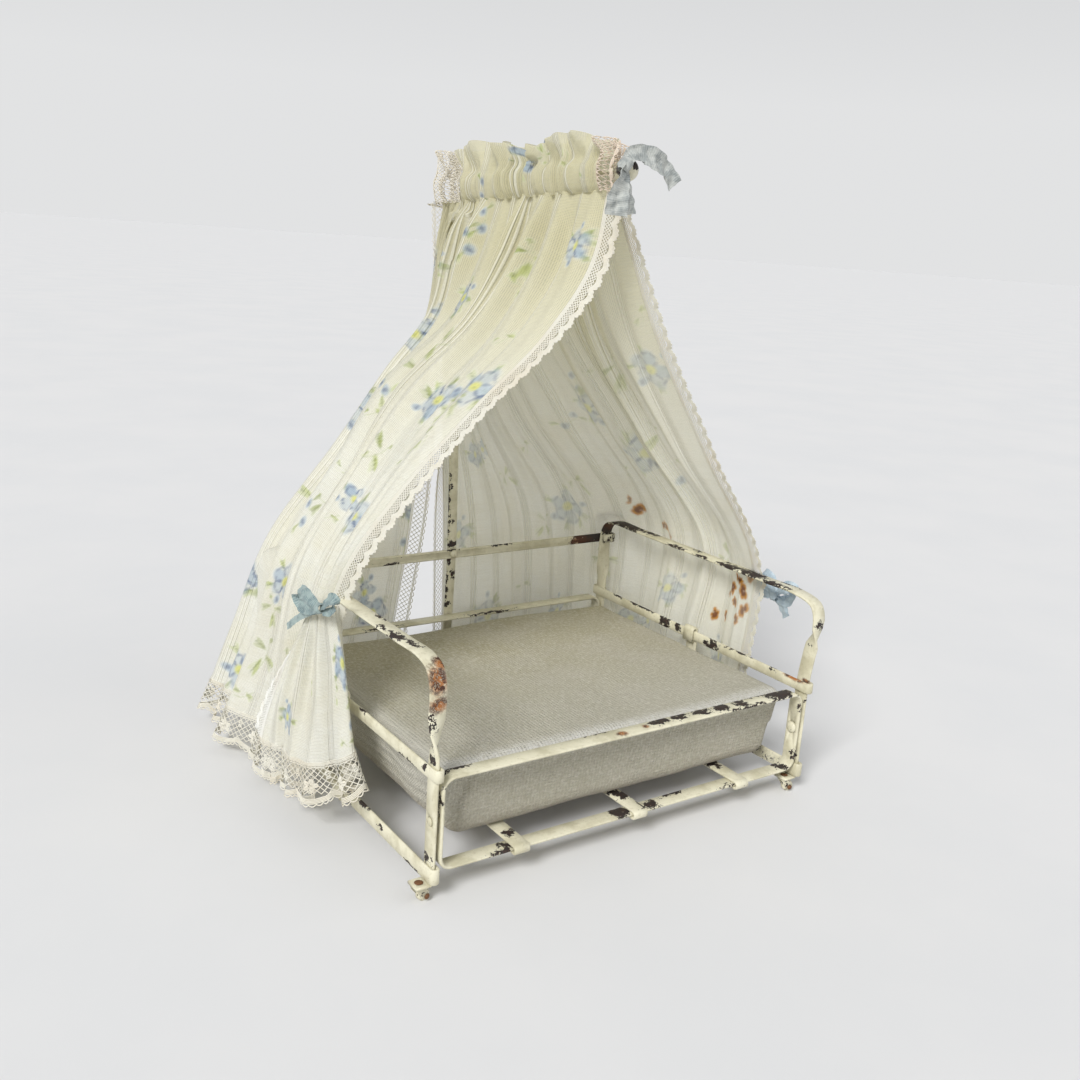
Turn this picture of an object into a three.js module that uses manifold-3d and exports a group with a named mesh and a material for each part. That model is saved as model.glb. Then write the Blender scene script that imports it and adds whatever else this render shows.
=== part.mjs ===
// Doll's day-bed of bent tin strip, with one rear canopy pole, casters, a loose mattress and a
// tied-back canopy. Millimetres, +Z up, +X along the bed, front towards -Y. The group's origin is set
// at the end, at the bottom centre of its bounding box; everything above that line uses the bed's own
// axes: X from mid-length, Y from the front posts back to the rear posts, Z from the floor.
import * as THREE from 'three';
import Module from 'manifold-3d';

// ---- driving dimensions -------------------------------------------------------------------------------
const LENGTH = 140; // between the planes of the left and right posts
const DEPTH = 111.2; // between the planes of the front and rear posts
const ARM_HEIGHT = 68.2; // middle of the arm's strip above the floor
const ARM_BEND = 7; // radius of the arm's bends into its posts
const BEND_INSET = 0.29; // how far a bend's middle stands in from its corner, as a share of the radius
const HOOP_STEPS = 60;
const POST_TWIST_REAR = [42, 54]; // heights between which a rear post makes its quarter turn
const STRIP_WIDTH = 5.2; // arms, posts, loops and slats
const STRIP_THICKNESS = 0.9;
const SEAM = 0.15; // air between strips that lie on each other
const FOOT_Z = 5.15; // middle of the foot tab under each post

const MID_RAIL_Z = 37.7;
const MID_RAIL_HEIGHT = 3.6;
const BOTTOM_RAIL_Z = 8.2;
const BOTTOM_RAIL_HEIGHT = 4.6;
const HIGH_RAIL_Z = 60.2;
const HIGH_RAIL_HEIGHT = 3.4;
const TAIL = 4.4; // how far a rail's folded end runs back along the post
const END_BAR_Y = 54.8;

const LOOP_TOP_Z = 35.8; // middles of the loops' top and bottom rails
const LOOP_BOTTOM_Z = 9.0;
const LOOP_CORNER = 3.6;
const RIVET_Z = 23.2;
const SLAT_X = [-42.2, 0.8, 43.2];

const POLE_X = -1.0;
const POLE_WIDTH = 3.6;
const POLE_THICKNESS = 1.1;
const ROD_REAR_Z = 191.0;
const ROD_FRONT_Z = 195.4;
const ROD_FRONT_Y = 27.0;
const POLE_TOP_Y = 117.0;
const BEAD_RADIUS = 3.2;
const POLE_STEPS = 54;
const HEADING_FRONT_Y = 29;
const HEADING_REAR_Y = 131;

const WHEEL_RADIUS = 1.85;
const WHEEL_WIDTH = 2.4;
const WHEEL_SIDES = 19; // an odd count puts a flat under the axle
const AXLE_RADIUS = 0.45;
const CASTER_TRAIL = 1.5;
const CASTER_X_OFFSET = -3.1; // both ends of the bed are the same pressing, so every foot tab points to -X
const PIN_RADIUS = 0.6;
const CLEARANCE = 0.08; // radial, wheel on axle and fork on pin

const MATTRESS = { x0: -66.6, x1: 66.8, y0: 4.6, y1: 106.4, z0: 10.75, z1: 35.3, corner: 7 };

const RIVET_RADIUS = 0.8;
const RIVET_HOLE_RADIUS = 0.95;
const RIVET_EASE = 0.08; // air under a rivet's head
const LOOP_RIVET = { head: 2.1, height: 0.9 };
const HIGH_POLE_RIVET = { head: 1.6, height: 0.7 };
const FOOT_POLE_RIVET = { head: 1.6, height: 0.5 };

// ---- materials ----------------------------------------------------------------------------------------
const enamel = { color: 0xcfc9a6, roughness: 0.45, metalness: 0.1 };
const rustyEnamel = { color: 0xa89a72, roughness: 0.6, metalness: 0.15 };
const pin = { color: 0x5a4630, roughness: 0.6, metalness: 0.6 };
const flannel = { color: 0xbdb6a4, roughness: 0.95, metalness: 0 };
const voile = { color: 0xe8e2cc, roughness: 0.9, metalness: 0 };
const lace = { color: 0xe6dcc8, roughness: 0.9, metalness: 0 };
const ribbon = { color: 0xa9b8b4, roughness: 0.8, metalness: 0 };

const group = new THREE.Group();

function add(name, geometry, finish, parent = group) {
  const mesh = new THREE.Mesh(geometry, new THREE.MeshStandardMaterial(finish));
  mesh.name = name;
  parent.add(mesh);
  return mesh;
}

// ---- geometry helpers ---------------------------------------------------------------------------------

// A strip's section, its two edges rolled off: [across, out] pairs, counter-clockwise seen along the path.
function stripSection(width, thickness) {
  const w = width / 2;
  const t = thickness / 2;
  const bevel = t * 0.62;
  return [
    [w, -t + bevel], [w, t - bevel], [w - bevel, t], [-w + bevel, t],
    [-w, t - bevel], [-w, -t + bevel], [-w + bevel, -t], [w - bevel, -t],
  ];
}

// A closed solid from rings of points with the same count; a ring list that closes on itself has no caps.
function loft(rings, closed = false) {
  const count = rings[0].length;
  const position = rings.flat().flatMap((p) => [p.x, p.y, p.z]);
  const index = [];
  const last = closed ? rings.length : rings.length - 1;
  for (let i = 0; i < last; i += 1) {
    const near = i * count;
    const far = ((i + 1) % rings.length) * count;
    for (let j = 0; j < count; j += 1) {
      const k = (j + 1) % count;
      index.push(near + j, near + k, far + k, near + j, far + k, far + j);
    }
  }
  if (!closed) {
    const end = (rings.length - 1) * count;
    for (let j = 1; j < count - 1; j += 1) {
      index.push(0, j + 1, j);
      index.push(end, end + j, end + j + 1);
    }
  }
  const geometry = new THREE.BufferGeometry();
  geometry.setAttribute('position', new THREE.Float32BufferAttribute(position, 3));
  geometry.setIndex(index);
  geometry.computeVertexNormals();
  return geometry;
}

// Bends a strip along a list of points. acrossAt(point, i) gives the direction of the strip's width.
function bendStrip(path, width, thickness, acrossAt, closed = false) {
  const section = stripSection(width, thickness);
  const n = path.length;
  const rings = path.map((point, i) => {
    const before = path[closed ? (i + n - 1) % n : Math.max(i - 1, 0)];
    const after = path[closed ? (i + 1) % n : Math.min(i + 1, n - 1)];
    const tangent = new THREE.Vector3().subVectors(after, before).normalize();
    const across = acrossAt(point, i).clone();
    across.addScaledVector(tangent, -across.dot(tangent)).normalize();
    const out = new THREE.Vector3().crossVectors(tangent, across);
    const incoming = new THREE.Vector3().subVectors(point, before);
    const outgoing = new THREE.Vector3().subVectors(after, point);
    const bend = incoming.lengthSq() && outgoing.lengthSq() ? incoming.angleTo(outgoing) : 0;
    const mitre = 1 / Math.cos(bend / 2);
    return section.map(([a, b]) => new THREE.Vector3()
      .copy(point)
      .addScaledVector(across, a)
      .addScaledVector(out, b * mitre));
  });
  return loft(rings, closed);
}

// Points of a flat drawing, put into space by place(a, b).
function trace(draw, place, divisions = 4) {
  const path = new THREE.Path();
  draw(path);
  const points = path.getPoints(divisions);
  const distinct = points.filter((p, i) => i === 0 || p.distanceTo(points[i - 1]) > 1e-4);
  return distinct.map((p) => place(p.x, p.y));
}

// A strip's path that folds round two edges: it runs along b = -reach, and both tails end at b = +reach.
function foldedEnds(path, start, end, reach, tail) {
  path.moveTo(start + tail, reach);
  path.lineTo(start, reach);
  path.absarc(start, 0, reach, Math.PI / 2, Math.PI * 1.5, false);
  path.lineTo(end, -reach);
  path.absarc(end, 0, reach, -Math.PI / 2, Math.PI / 2, false);
  path.lineTo(end - tail, reach);
}

const X_AXIS = new THREE.Vector3(1, 0, 0);
const Y_AXIS = new THREE.Vector3(0, 1, 0);
const Z_AXIS = new THREE.Vector3(0, 0, 1);

const wasm = await Module();
wasm.setup();

function toSolid(geometry) {
  return new wasm.Manifold(new wasm.Mesh({
    numProp: 3,
    vertProperties: new Float32Array(geometry.getAttribute('position').array),
    triVerts: new Uint32Array(geometry.getIndex().array),
  }));
}

function toGeometry(solid) {
  const mesh = solid.getMesh();
  const geometry = new THREE.BufferGeometry();
  geometry.setAttribute('position', new THREE.Float32BufferAttribute(mesh.vertProperties, 3));
  geometry.setIndex(Array.from(mesh.triVerts));
  geometry.computeVertexNormals();
  return geometry;
}

// A round bar between two points.
function bar(from, to, radius, sides = 12) {
  const axis = new THREE.Vector3().subVectors(to, from).normalize();
  const u = Math.abs(axis.z) > 0.9 ? X_AXIS.clone() : Z_AXIS.clone().cross(axis).normalize();
  const v = new THREE.Vector3().crossVectors(axis, u);
  const ring = (centre) => Array.from({ length: sides }, (_, i) => {
    const angle = (i / sides) * Math.PI * 2;
    return new THREE.Vector3().copy(centre)
      .addScaledVector(u, Math.cos(angle) * radius)
      .addScaledVector(v, Math.sin(angle) * radius);
  });
  return loft([ring(from), ring(to)]);
}

function drill(geometry, from, to, radius) {
  return toGeometry(toSolid(geometry).subtract(toSolid(bar(from, to, radius))));
}

function join(...geometries) {
  return toGeometry(geometries.map(toSolid).reduce((whole, piece) => whole.add(piece)));
}

// A rivet along +Z from its domed head's seat at z = 0, through `grip`, to a smaller formed head.
function rivetGeometry(headRadius, grip, headHeight) {
  const tailRadius = headRadius * 0.66;
  const profile = [
    [0, -headHeight], [headRadius * 0.5, -headHeight * 0.86], [headRadius * 0.87, -headHeight * 0.5],
    [headRadius, 0], [RIVET_RADIUS, 0], [RIVET_RADIUS, grip], [tailRadius, grip],
    [tailRadius * 0.8, grip + 0.4], [0, grip + 0.55],
  ].map(([r, z]) => new THREE.Vector2(r, z));
  const geometry = new THREE.LatheGeometry(profile, 14);
  geometry.rotateX(Math.PI / 2);
  return geometry;
}

function addRivet(name, { head, height }, grip, position, direction) {
  const rivet = add(name, rivetGeometry(head, grip, height), enamel);
  rivet.quaternion.setFromUnitVectors(Z_AXIS, direction);
  rivet.position.copy(position);
}

const v3 = (x, y, z) => new THREE.Vector3(x, y, z);
const lerp = THREE.MathUtils.lerp;
const smooth = THREE.MathUtils.smoothstep;

// ---- end frames: arm hoops, side rails and the bar between them ---------------------------------------
const half = STRIP_THICKNESS / 2;
const reach = STRIP_THICKNESS + SEAM; // middle of a strip to the middle of the one lying on it

// The arm bends down into a post at each end, and each post turns a quarter turn below the arm.
function armHoop(side, bulge, twistTop, twistBottom) {
  const x = side * LENGTH / 2;
  const bend = ARM_BEND;
  const inset = ARM_BEND * BEND_INSET;
  const postFoot = 9.6;
  const points = trace((path) => {
    path.moveTo(x + CASTER_X_OFFSET - 2, FOOT_Z);
    path.lineTo(x - 0.9, FOOT_Z);
    path.absarc(x - 0.9, FOOT_Z + 0.9, 0.9, -Math.PI / 2, 0, false);
  }, (a, b) => v3(a, 0, b), 4);
  const mirrored = [...points].reverse().map((p) => v3(p.x, DEPTH, p.z));
  const curve = new THREE.CatmullRomCurve3([
    v3(x, 0, postFoot), v3(x, 0, 20), v3(x, 0, MID_RAIL_Z), v3(x, -bulge * 0.4, 50),
    v3(x, -bulge, ARM_HEIGHT - bend),
    v3(x, inset - bulge, ARM_HEIGHT - inset),
    v3(x, bend, ARM_HEIGHT),
    v3(x, bend + 12, ARM_HEIGHT), v3(x, DEPTH / 2, ARM_HEIGHT), v3(x, DEPTH - bend - 12, ARM_HEIGHT),
    v3(x, DEPTH - bend, ARM_HEIGHT), v3(x, DEPTH - inset, ARM_HEIGHT - inset),
    v3(x, DEPTH, ARM_HEIGHT - bend), v3(x, DEPTH, 50),
    v3(x, DEPTH, MID_RAIL_Z), v3(x, DEPTH, 20), v3(x, DEPTH, postFoot),
  ], false, 'centripetal');
  const hoop = [...points, ...curve.getPoints(HOOP_STEPS), ...mirrored];
  return bendStrip(hoop, STRIP_WIDTH, STRIP_THICKNESS, (p) => {
    const front = p.y < DEPTH / 2;
    const [low, high] = front ? [twistBottom, twistTop] : POST_TWIST_REAR;
    const turn = (1 - smooth(p.z, low, high)) * Math.PI / 2;
    const handed = front ? 1 : -1;
    return v3(Math.cos(turn) * handed, Math.sin(turn), 0).multiplyScalar(handed);
  });
}

function endFrame(side, label, bulge, twistTop, twistBottom) {
  const x = side * LENGTH / 2;
  const frontEdge = -STRIP_WIDTH / 2;
  const rearEdge = DEPTH + STRIP_WIDTH / 2;
  const outward = v3(side, 0, 0);
  const rivetSeat = loopOuterX - STRIP_THICKNESS - RIVET_EASE;
  let hoop = armHoop(side, bulge, twistTop, twistBottom);
  for (const y of [0, DEPTH]) {
    hoop = drill(hoop, v3(x - 3, y, RIVET_Z), v3(x + 3, y, RIVET_Z), RIVET_HOLE_RADIUS);
    const pinX = x + CASTER_X_OFFSET;
    hoop = drill(hoop, v3(pinX, y, FOOT_Z - 2), v3(pinX, y, FOOT_Z + 2), PIN_RADIUS + CLEARANCE);
    const corner = y === 0 ? 'front' : 'rear';
    addRivet(`loop_rivet_${corner}_${label}`, LOOP_RIVET, x * side + half - rivetSeat,
      v3(side * rivetSeat, y, RIVET_Z), outward);
  }
  add(`arm_hoop_${label}`, hoop, enamel);

  const rail = (z) => trace((path) => foldedEnds(path, frontEdge, rearEdge, reach, TAIL),
    (a, b) => v3(x + b, a, z));
  add(`mid_side_rail_${label}`,
    bendStrip(rail(MID_RAIL_Z), MID_RAIL_HEIGHT, STRIP_THICKNESS, () => Z_AXIS), enamel);
  add(`bottom_side_rail_${label}`,
    bendStrip(rail(BOTTOM_RAIL_Z), BOTTOM_RAIL_HEIGHT, STRIP_THICKNESS, () => Z_AXIS), enamel);

  const railX = x - reach;
  const low = BOTTOM_RAIL_Z - BOTTOM_RAIL_HEIGHT / 2;
  const high = MID_RAIL_Z + MID_RAIL_HEIGHT / 2;
  const bracePath = trace((path) => foldedEnds(path, low, high, reach, 4),
    (a, b) => v3(railX - b, END_BAR_Y, a));
  add(`end_bar_${label}`, bendStrip(bracePath, STRIP_WIDTH, STRIP_THICKNESS, () => Y_AXIS), enamel);
}

// ---- loops: the front and rear frames that carry the slats --------------------------------------------
const loopOuterX = LENGTH / 2 - half - SEAM - STRIP_THICKNESS - SEAM; // clear of the folded rail ends
const loopX = loopOuterX - half;

function loopFrame(y) {
  const rivetLine = [v3(-LENGTH, y, RIVET_Z), v3(LENGTH, y, RIVET_Z)];
  const points = trace((path) => {
    const r = LOOP_CORNER;
    path.moveTo(0, LOOP_BOTTOM_Z);
    path.lineTo(loopX - r, LOOP_BOTTOM_Z);
    path.absarc(loopX - r, LOOP_BOTTOM_Z + r, r, -Math.PI / 2, 0, false);
    path.lineTo(loopX, LOOP_TOP_Z - r);
    path.absarc(loopX - r, LOOP_TOP_Z - r, r, 0, Math.PI / 2, false);
    path.lineTo(-loopX + r, LOOP_TOP_Z);
    path.absarc(-loopX + r, LOOP_TOP_Z - r, r, Math.PI / 2, Math.PI, false);
    path.lineTo(-loopX, LOOP_BOTTOM_Z + r);
    path.absarc(-loopX + r, LOOP_BOTTOM_Z + r, r, Math.PI, Math.PI * 1.5, false);
  }, (a, b) => v3(a, y, b), 4);
  const strip = bendStrip(points, STRIP_WIDTH, STRIP_THICKNESS, () => Y_AXIS, true);
  return drill(strip, ...rivetLine, RIVET_HOLE_RADIUS);
}

function slat(x) {
  const front = -STRIP_WIDTH / 2;
  const rear = DEPTH + STRIP_WIDTH / 2;
  const points = trace((path) => foldedEnds(path, front, rear, reach, TAIL),
    (a, b) => v3(x, a, LOOP_BOTTOM_Z - b));
  return bendStrip(points, STRIP_WIDTH, STRIP_THICKNESS, () => X_AXIS);
}

// ---- rear rail and canopy pole ------------------------------------------------------------------------
const highReach = reach + 0.3;
const highRailY = DEPTH + highReach; // behind the rear posts
const poleRivetY = highRailY + half + SEAM + POLE_THICKNESS / 2;
const poleFootY = DEPTH + STRIP_WIDTH / 2 + reach + half + SEAM + POLE_THICKNESS / 2 + 0.2;
const poleFootZ = LOOP_BOTTOM_Z - reach - half - SEAM - POLE_THICKNESS / 2;

function highRail() {
  const left = -LENGTH / 2 - STRIP_WIDTH / 2;
  const right = LENGTH / 2 + STRIP_WIDTH / 2;
  const points = trace((path) => foldedEnds(path, left, right, highReach, TAIL),
    (a, b) => v3(a, DEPTH - b, HIGH_RAIL_Z));
  return bendStrip(points, HIGH_RAIL_HEIGHT, STRIP_THICKNESS, () => Z_AXIS);
}

const poleCurve = new THREE.CatmullRomCurve3([
  v3(POLE_X + 1.2, DEPTH - 2, poleFootZ),
  v3(POLE_X + 1.2, poleFootY - 2, poleFootZ),
  v3(POLE_X + 1.2, poleFootY, poleFootZ + 2),
  v3(POLE_X + 1.0, lerp(poleFootY, poleRivetY, 0.45), 32),
  v3(POLE_X + 0.5, poleRivetY, HIGH_RAIL_Z),
  v3(POLE_X, lerp(poleRivetY, POLE_TOP_Y, 0.3), 100),
  v3(POLE_X - 0.4, POLE_TOP_Y - 0.6, 160),
  v3(POLE_X - 0.5, POLE_TOP_Y, ROD_REAR_Z - 7),
  v3(POLE_X - 0.5, POLE_TOP_Y - 2, ROD_REAR_Z - 2),
  v3(POLE_X - 0.5, POLE_TOP_Y - 7, ROD_REAR_Z),
  v3(POLE_X - 0.5, 70, lerp(ROD_REAR_Z, ROD_FRONT_Z, 0.45)),
  v3(POLE_X - 0.5, ROD_FRONT_Y, ROD_FRONT_Z),
], false, 'centripetal');

// Height of the rod's middle at a depth y.
function rodZ(y) {
  return lerp(ROD_FRONT_Z, ROD_REAR_Z, (y - ROD_FRONT_Y) / (POLE_TOP_Y - ROD_FRONT_Y));
}

// ---- casters ------------------------------------------------------------------------------------------
const forkTopZ = FOOT_Z - half - 0.2;
const forkThickness = 0.45;
const forkHalfGap = WHEEL_WIDTH / 2 + 0.2;
const WHEEL_SEAT = WHEEL_RADIUS * Math.cos(Math.PI / WHEEL_SIDES); // axle height with a flat on the floor

// A plate on the pin with two cheeks that trail back to the axle.
function fork() {
  const top = forkTopZ;
  const axleZ = WHEEL_SEAT;
  const cheekShape = new THREE.Shape();
  cheekShape.moveTo(-1.2, top - forkThickness / 2);
  cheekShape.lineTo(-1.0, top - 1.2);
  cheekShape.lineTo(CASTER_TRAIL - 0.9, axleZ - 0.5);
  cheekShape.absarc(CASTER_TRAIL, axleZ, 0.95, Math.PI * 1.2, Math.PI * 2, false);
  cheekShape.lineTo(1.5, top - forkThickness / 2);
  const cheek = (y) => {
    const plate = new THREE.ExtrudeGeometry(cheekShape,
      { depth: forkThickness, steps: 1, bevelEnabled: false, curveSegments: 4 });
    plate.rotateX(Math.PI / 2);
    plate.translate(0, y, 0);
    return weld(plate);
  };
  const deck = new THREE.BoxGeometry(3.0, 2 * (forkHalfGap + forkThickness), forkThickness);
  deck.translate(0.1, 0, top - forkThickness / 2);
  const merged = join(weld(deck), cheek(-forkHalfGap), cheek(forkHalfGap + forkThickness));
  const axled = drill(merged, v3(CASTER_TRAIL, -4, axleZ), v3(CASTER_TRAIL, 4, axleZ), AXLE_RADIUS + 0.03);
  return drill(axled, v3(0, 0, top - 1), v3(0, 0, top + 1), PIN_RADIUS + CLEARANCE);
}

// Drops normals and texture coordinates and shares equal corners, as a solid needs.
function weld(geometry) {
  const position = geometry.getAttribute('position');
  const index = geometry.getIndex();
  const seen = new Map();
  const corners = [];
  const renumber = [];
  for (let i = 0; i < position.count; i += 1) {
    const xyz = [position.getX(i), position.getY(i), position.getZ(i)];
    const key = xyz.map((value) => Math.round(value * 1e5)).join(',');
    if (!seen.has(key)) {
      seen.set(key, seen.size);
      corners.push(...xyz);
    }
    renumber.push(seen.get(key));
  }
  const faces = [];
  const source = index ? Array.from(index.array) : renumber.map((_, i) => i);
  for (let i = 0; i < source.length; i += 3) {
    const [a, b, c] = [renumber[source[i]], renumber[source[i + 1]], renumber[source[i + 2]]];
    if (a !== b && b !== c && c !== a) faces.push(a, b, c);
  }
  const welded = new THREE.BufferGeometry();
  welded.setAttribute('position', new THREE.Float32BufferAttribute(corners, 3));
  welded.setIndex(faces);
  return welded;
}

function wheel() {
  const w = WHEEL_WIDTH / 2;
  const bore = AXLE_RADIUS + CLEARANCE;
  const profile = [
    [bore, -w], [1.0, -w], [1.2, -w + 0.3], [WHEEL_RADIUS - 0.3, -w + 0.3], [WHEEL_RADIUS, -w + 0.5],
    [WHEEL_RADIUS, w - 0.5], [WHEEL_RADIUS - 0.3, w - 0.3], [1.2, w - 0.3], [1.0, w], [bore, w], [bore, -w],
  ].map(([r, z]) => new THREE.Vector2(r, z));
  return new THREE.LatheGeometry(profile, WHEEL_SIDES);
}

function headedPin(radius, headRadius, headHeight, grip) {
  const profile = [
    [0, -headHeight], [headRadius * 0.6, -headHeight], [headRadius, -headHeight * 0.4], [headRadius, 0],
    [radius, 0], [radius, grip], [headRadius * 0.9, grip], [headRadius * 0.6, grip + headHeight * 0.8],
    [0, grip + headHeight],
  ].map(([r, z]) => new THREE.Vector2(r, z));
  return new THREE.LatheGeometry(profile, 10);
}

function addCaster(corner, x, y, yaw) {
  const swivel = new THREE.Group();
  swivel.position.set(x + CASTER_X_OFFSET, y, 0);
  swivel.rotation.z = THREE.MathUtils.degToRad(yaw);
  group.add(swivel);
  add(`caster_fork_${corner}`, fork(), rustyEnamel, swivel);
  const roller = add(`caster_wheel_${corner}`, wheel(), rustyEnamel, swivel);
  roller.position.set(CASTER_TRAIL, 0, WHEEL_SEAT);
  const axleGrip = 2 * (forkHalfGap + forkThickness) + 0.1;
  const axle = add(`caster_axle_${corner}`, headedPin(AXLE_RADIUS, 0.85, 0.4, axleGrip), pin, swivel);
  axle.position.set(CASTER_TRAIL, -axleGrip / 2, WHEEL_SEAT);
  const pinGrip = FOOT_Z + half - (forkTopZ - forkThickness) + 0.1;
  const swivelPin = add(`swivel_pin_${corner}`, headedPin(PIN_RADIUS, 1.25, 0.3, pinGrip), pin, group);
  swivelPin.rotation.x = -Math.PI / 2;
  swivelPin.position.set(x + CASTER_X_OFFSET, y, FOOT_Z + half + 0.05);
}

// ---- soft parts ---------------------------------------------------------------------------------------

// A firm pad: upright sides, rounded corners, its bottom edges drawn well in and its top edge turned over.
function mattress() {
  const { x0, x1, y0, y1, z0, z1, corner } = MATTRESS;
  const levels = [
    [z0, 7.5], [z0 + 0.7, 5.2], [z0 + 2.2, 3.2], [z0 + 4.6, 1.3], [z0 + 8, 0.2], [z0 + 13, 0],
    [z1 - 4, 0.1], [z1 - 1.4, 0.9], [z1 - 0.4, 2], [z1, 4],
  ];
  const rings = levels.map(([z, inset]) => {
    const r = corner - inset * 0.3;
    const points = [];
    const corners = [[x1, y1, 0], [x0, y1, 1], [x0, y0, 2], [x1, y0, 3]];
    for (const [x, y, quarter] of corners) {
      const cx = x + (x > 0 ? -1 : 1) * (inset + r);
      const cy = y + (y > DEPTH / 2 ? -1 : 1) * (inset + r);
      for (let k = 0; k <= 5; k += 1) {
        const angle = (quarter + k / 5) * Math.PI / 2;
        points.push(v3(cx + Math.cos(angle) * r, cy + Math.sin(angle) * r, z));
      }
    }
    return points;
  });
  return loft(rings);
}

// Each drape hangs on six threads from front edge to rear edge, given by points from the casing to the
// hem. A thread's first point has no height of its own: it starts at the casing, along the sloping rod.
const DRAPE_THICKNESS = 2.2;
const CASING_DROP = 5.2; // from the rod's middle to the seam where the drapes begin
const HEM_START = 0.925; // where the hem lace begins, as a share of the drop
const EDGE_END = 0.05; // where the edge lace ends, as a share of the width
const HEM_GAP = 0.004; // air between the cloth's solid and its laces' solids, as the same shares
const EDGE_GAP = 0.006;
const leftThreads = [
  [[-4.5, 29], [-14, 31, 151], [-46, 45, 112], [-76, 53, 71], [-77, 39, 35], [-77, 33, 19]],
  [[-4.5, 48], [-18, 52, 151], [-51, 62, 112], [-77.5, 63, 71], [-80, 56, 35], [-80.5, 60, 3]],
  [[-4.5, 69], [-18, 75, 151], [-50, 84, 112], [-77, 84, 71], [-82, 86, 35], [-87, 92, 2]],
  [[-4.5, 92], [-17, 98, 151], [-43, 106, 112], [-77, 106, 71], [-81, 115, 35], [-87, 120, 2]],
  [[-4.5, 112], [-11, 118, 151], [-28, 123, 112], [-62, 122.5, 71], [-67, 130, 35], [-80, 138, 2]],
  [[-4, 130], [-4, 130, 151], [-6, 127, 112], [-9, 124, 71], [-13, 122.5, 35], [-18, 122, 2]],
];
const rightThreads = [
  [[2.5, 29], [19, 26, 151], [44, 25, 112], [75.5, 29, 68], [77, 31, 35], [77.5, 33, 3]],
  [[2.5, 48], [18, 46, 151], [44, 42, 112], [77, 40, 68], [79, 45, 35], [81, 48, 2]],
  [[2.5, 69], [15, 68, 151], [45, 66, 112], [78, 68, 68], [80, 72, 35], [84, 78, 2]],
  [[2.5, 92], [13, 92, 151], [42, 94, 112], [79, 103, 68], [81, 106, 35], [84, 112, 2]],
  [[2.5, 112], [8, 114, 151], [30, 118, 112], [64, 122.5, 68], [67, 124, 35], [68, 128, 2]],
  [[2.8, 128], [2.5, 126, 151], [0.5, 122.5, 112], [-5, 119, 68], [-5, 119, 35], [-4, 119.5, 2]],
];

// A part of a drape: down and along are [from, to] as shares of its drop and of its width.
function drape(threads, down, along, rows, columns) {
  const smoothCurve = (points) => new THREE.CatmullRomCurve3(points, false, 'centripetal');
  const curves = threads.map((points) => smoothCurve(
    points.map(([x, y, z = rodZ(y) - CASING_DROP]) => v3(x, y, z))));
  const pointAt = (d, a) => smoothCurve(curves.map((curve) => curve.getPoint(d))).getPoint(a);
  const step = 0.02;
  const inside = (value) => Math.min(Math.max(value, 0), 1);
  const rings = [];
  for (let i = 0; i <= rows; i += 1) {
    const d = lerp(...down, i / rows);
    const sides = [];
    for (let j = 0; j <= columns; j += 1) {
      const a = lerp(...along, j / columns);
      const point = pointAt(d, a);
      const drop = pointAt(inside(d + step), a).sub(pointAt(inside(d - step), a));
      const width = pointAt(d, inside(a + step)).sub(pointAt(d, inside(a - step)));
      const normal = new THREE.Vector3().crossVectors(width, drop).setZ(0).normalize();
      sides.push([1, -1].map((s) => point.clone().addScaledVector(normal, s * DRAPE_THICKNESS / 2)));
    }
    rings.push([...sides.map((pair) => pair[0]), ...sides.map((pair) => pair[1]).reverse()]);
  }
  return shell(rings, columns + 1);
}

// Like loft, for long thin rings: the two end caps are strips between the ring's opposite sides.
function shell(rings, columns) {
  const open = loft(rings, false);
  const count = rings[0].length;
  const caps = 2 * 3 * (count - 2);
  const index = Array.from(open.getIndex().array).slice(0, -caps);
  const end = (rings.length - 1) * count;
  for (let j = 0; j < columns - 1; j += 1) {
    const [a, b, c, d] = [j, j + 1, count - 2 - j, count - 1 - j];
    index.push(a, c, b, a, d, c);
    index.push(end + a, end + b, end + c, end + a, end + c, end + d);
  }
  open.setIndex(index);
  open.computeVertexNormals();
  return open;
}

// The gathered heading: a sleeve round the rod below, a stand-up frill above.
function heading() {
  const outline = new THREE.Shape();
  outline.moveTo(-5.2, -2);
  outline.quadraticCurveTo(-4.8, -4.6, -0.6, -4.8);
  outline.quadraticCurveTo(4.2, -4.6, 4.4, -2);
  outline.quadraticCurveTo(4.6, 1.5, 2.6, 3.4);
  outline.lineTo(4.4, 11.5);
  outline.quadraticCurveTo(0, 13.5, -5.0, 11.5);
  outline.lineTo(-3.6, 3.4);
  outline.quadraticCurveTo(-5.4, 1.5, -5.2, -2);
  const length = HEADING_REAR_Y - HEADING_FRONT_Y;
  const block = new THREE.ExtrudeGeometry(outline,
    { depth: length, steps: 1, bevelEnabled: false, curveSegments: 5 });
  block.rotateX(Math.PI / 2);
  block.translate(POLE_X, HEADING_REAR_Y, 0);
  const position = block.getAttribute('position');
  for (let i = 0; i < position.count; i += 1) {
    position.setZ(i, position.getZ(i) + rodZ(position.getY(i)));
  }
  const room = 0.7; // between the sleeve and the rod, on its edges; a little more on its faces
  const channel = bendStrip(poleCurve.getPoints(POLE_STEPS), POLE_WIDTH + 2 * room,
    POLE_THICKNESS + 2 * room + 0.2, () => X_AXIS);
  return toGeometry(toSolid(weld(block)).subtract(toSolid(channel)));
}

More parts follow.
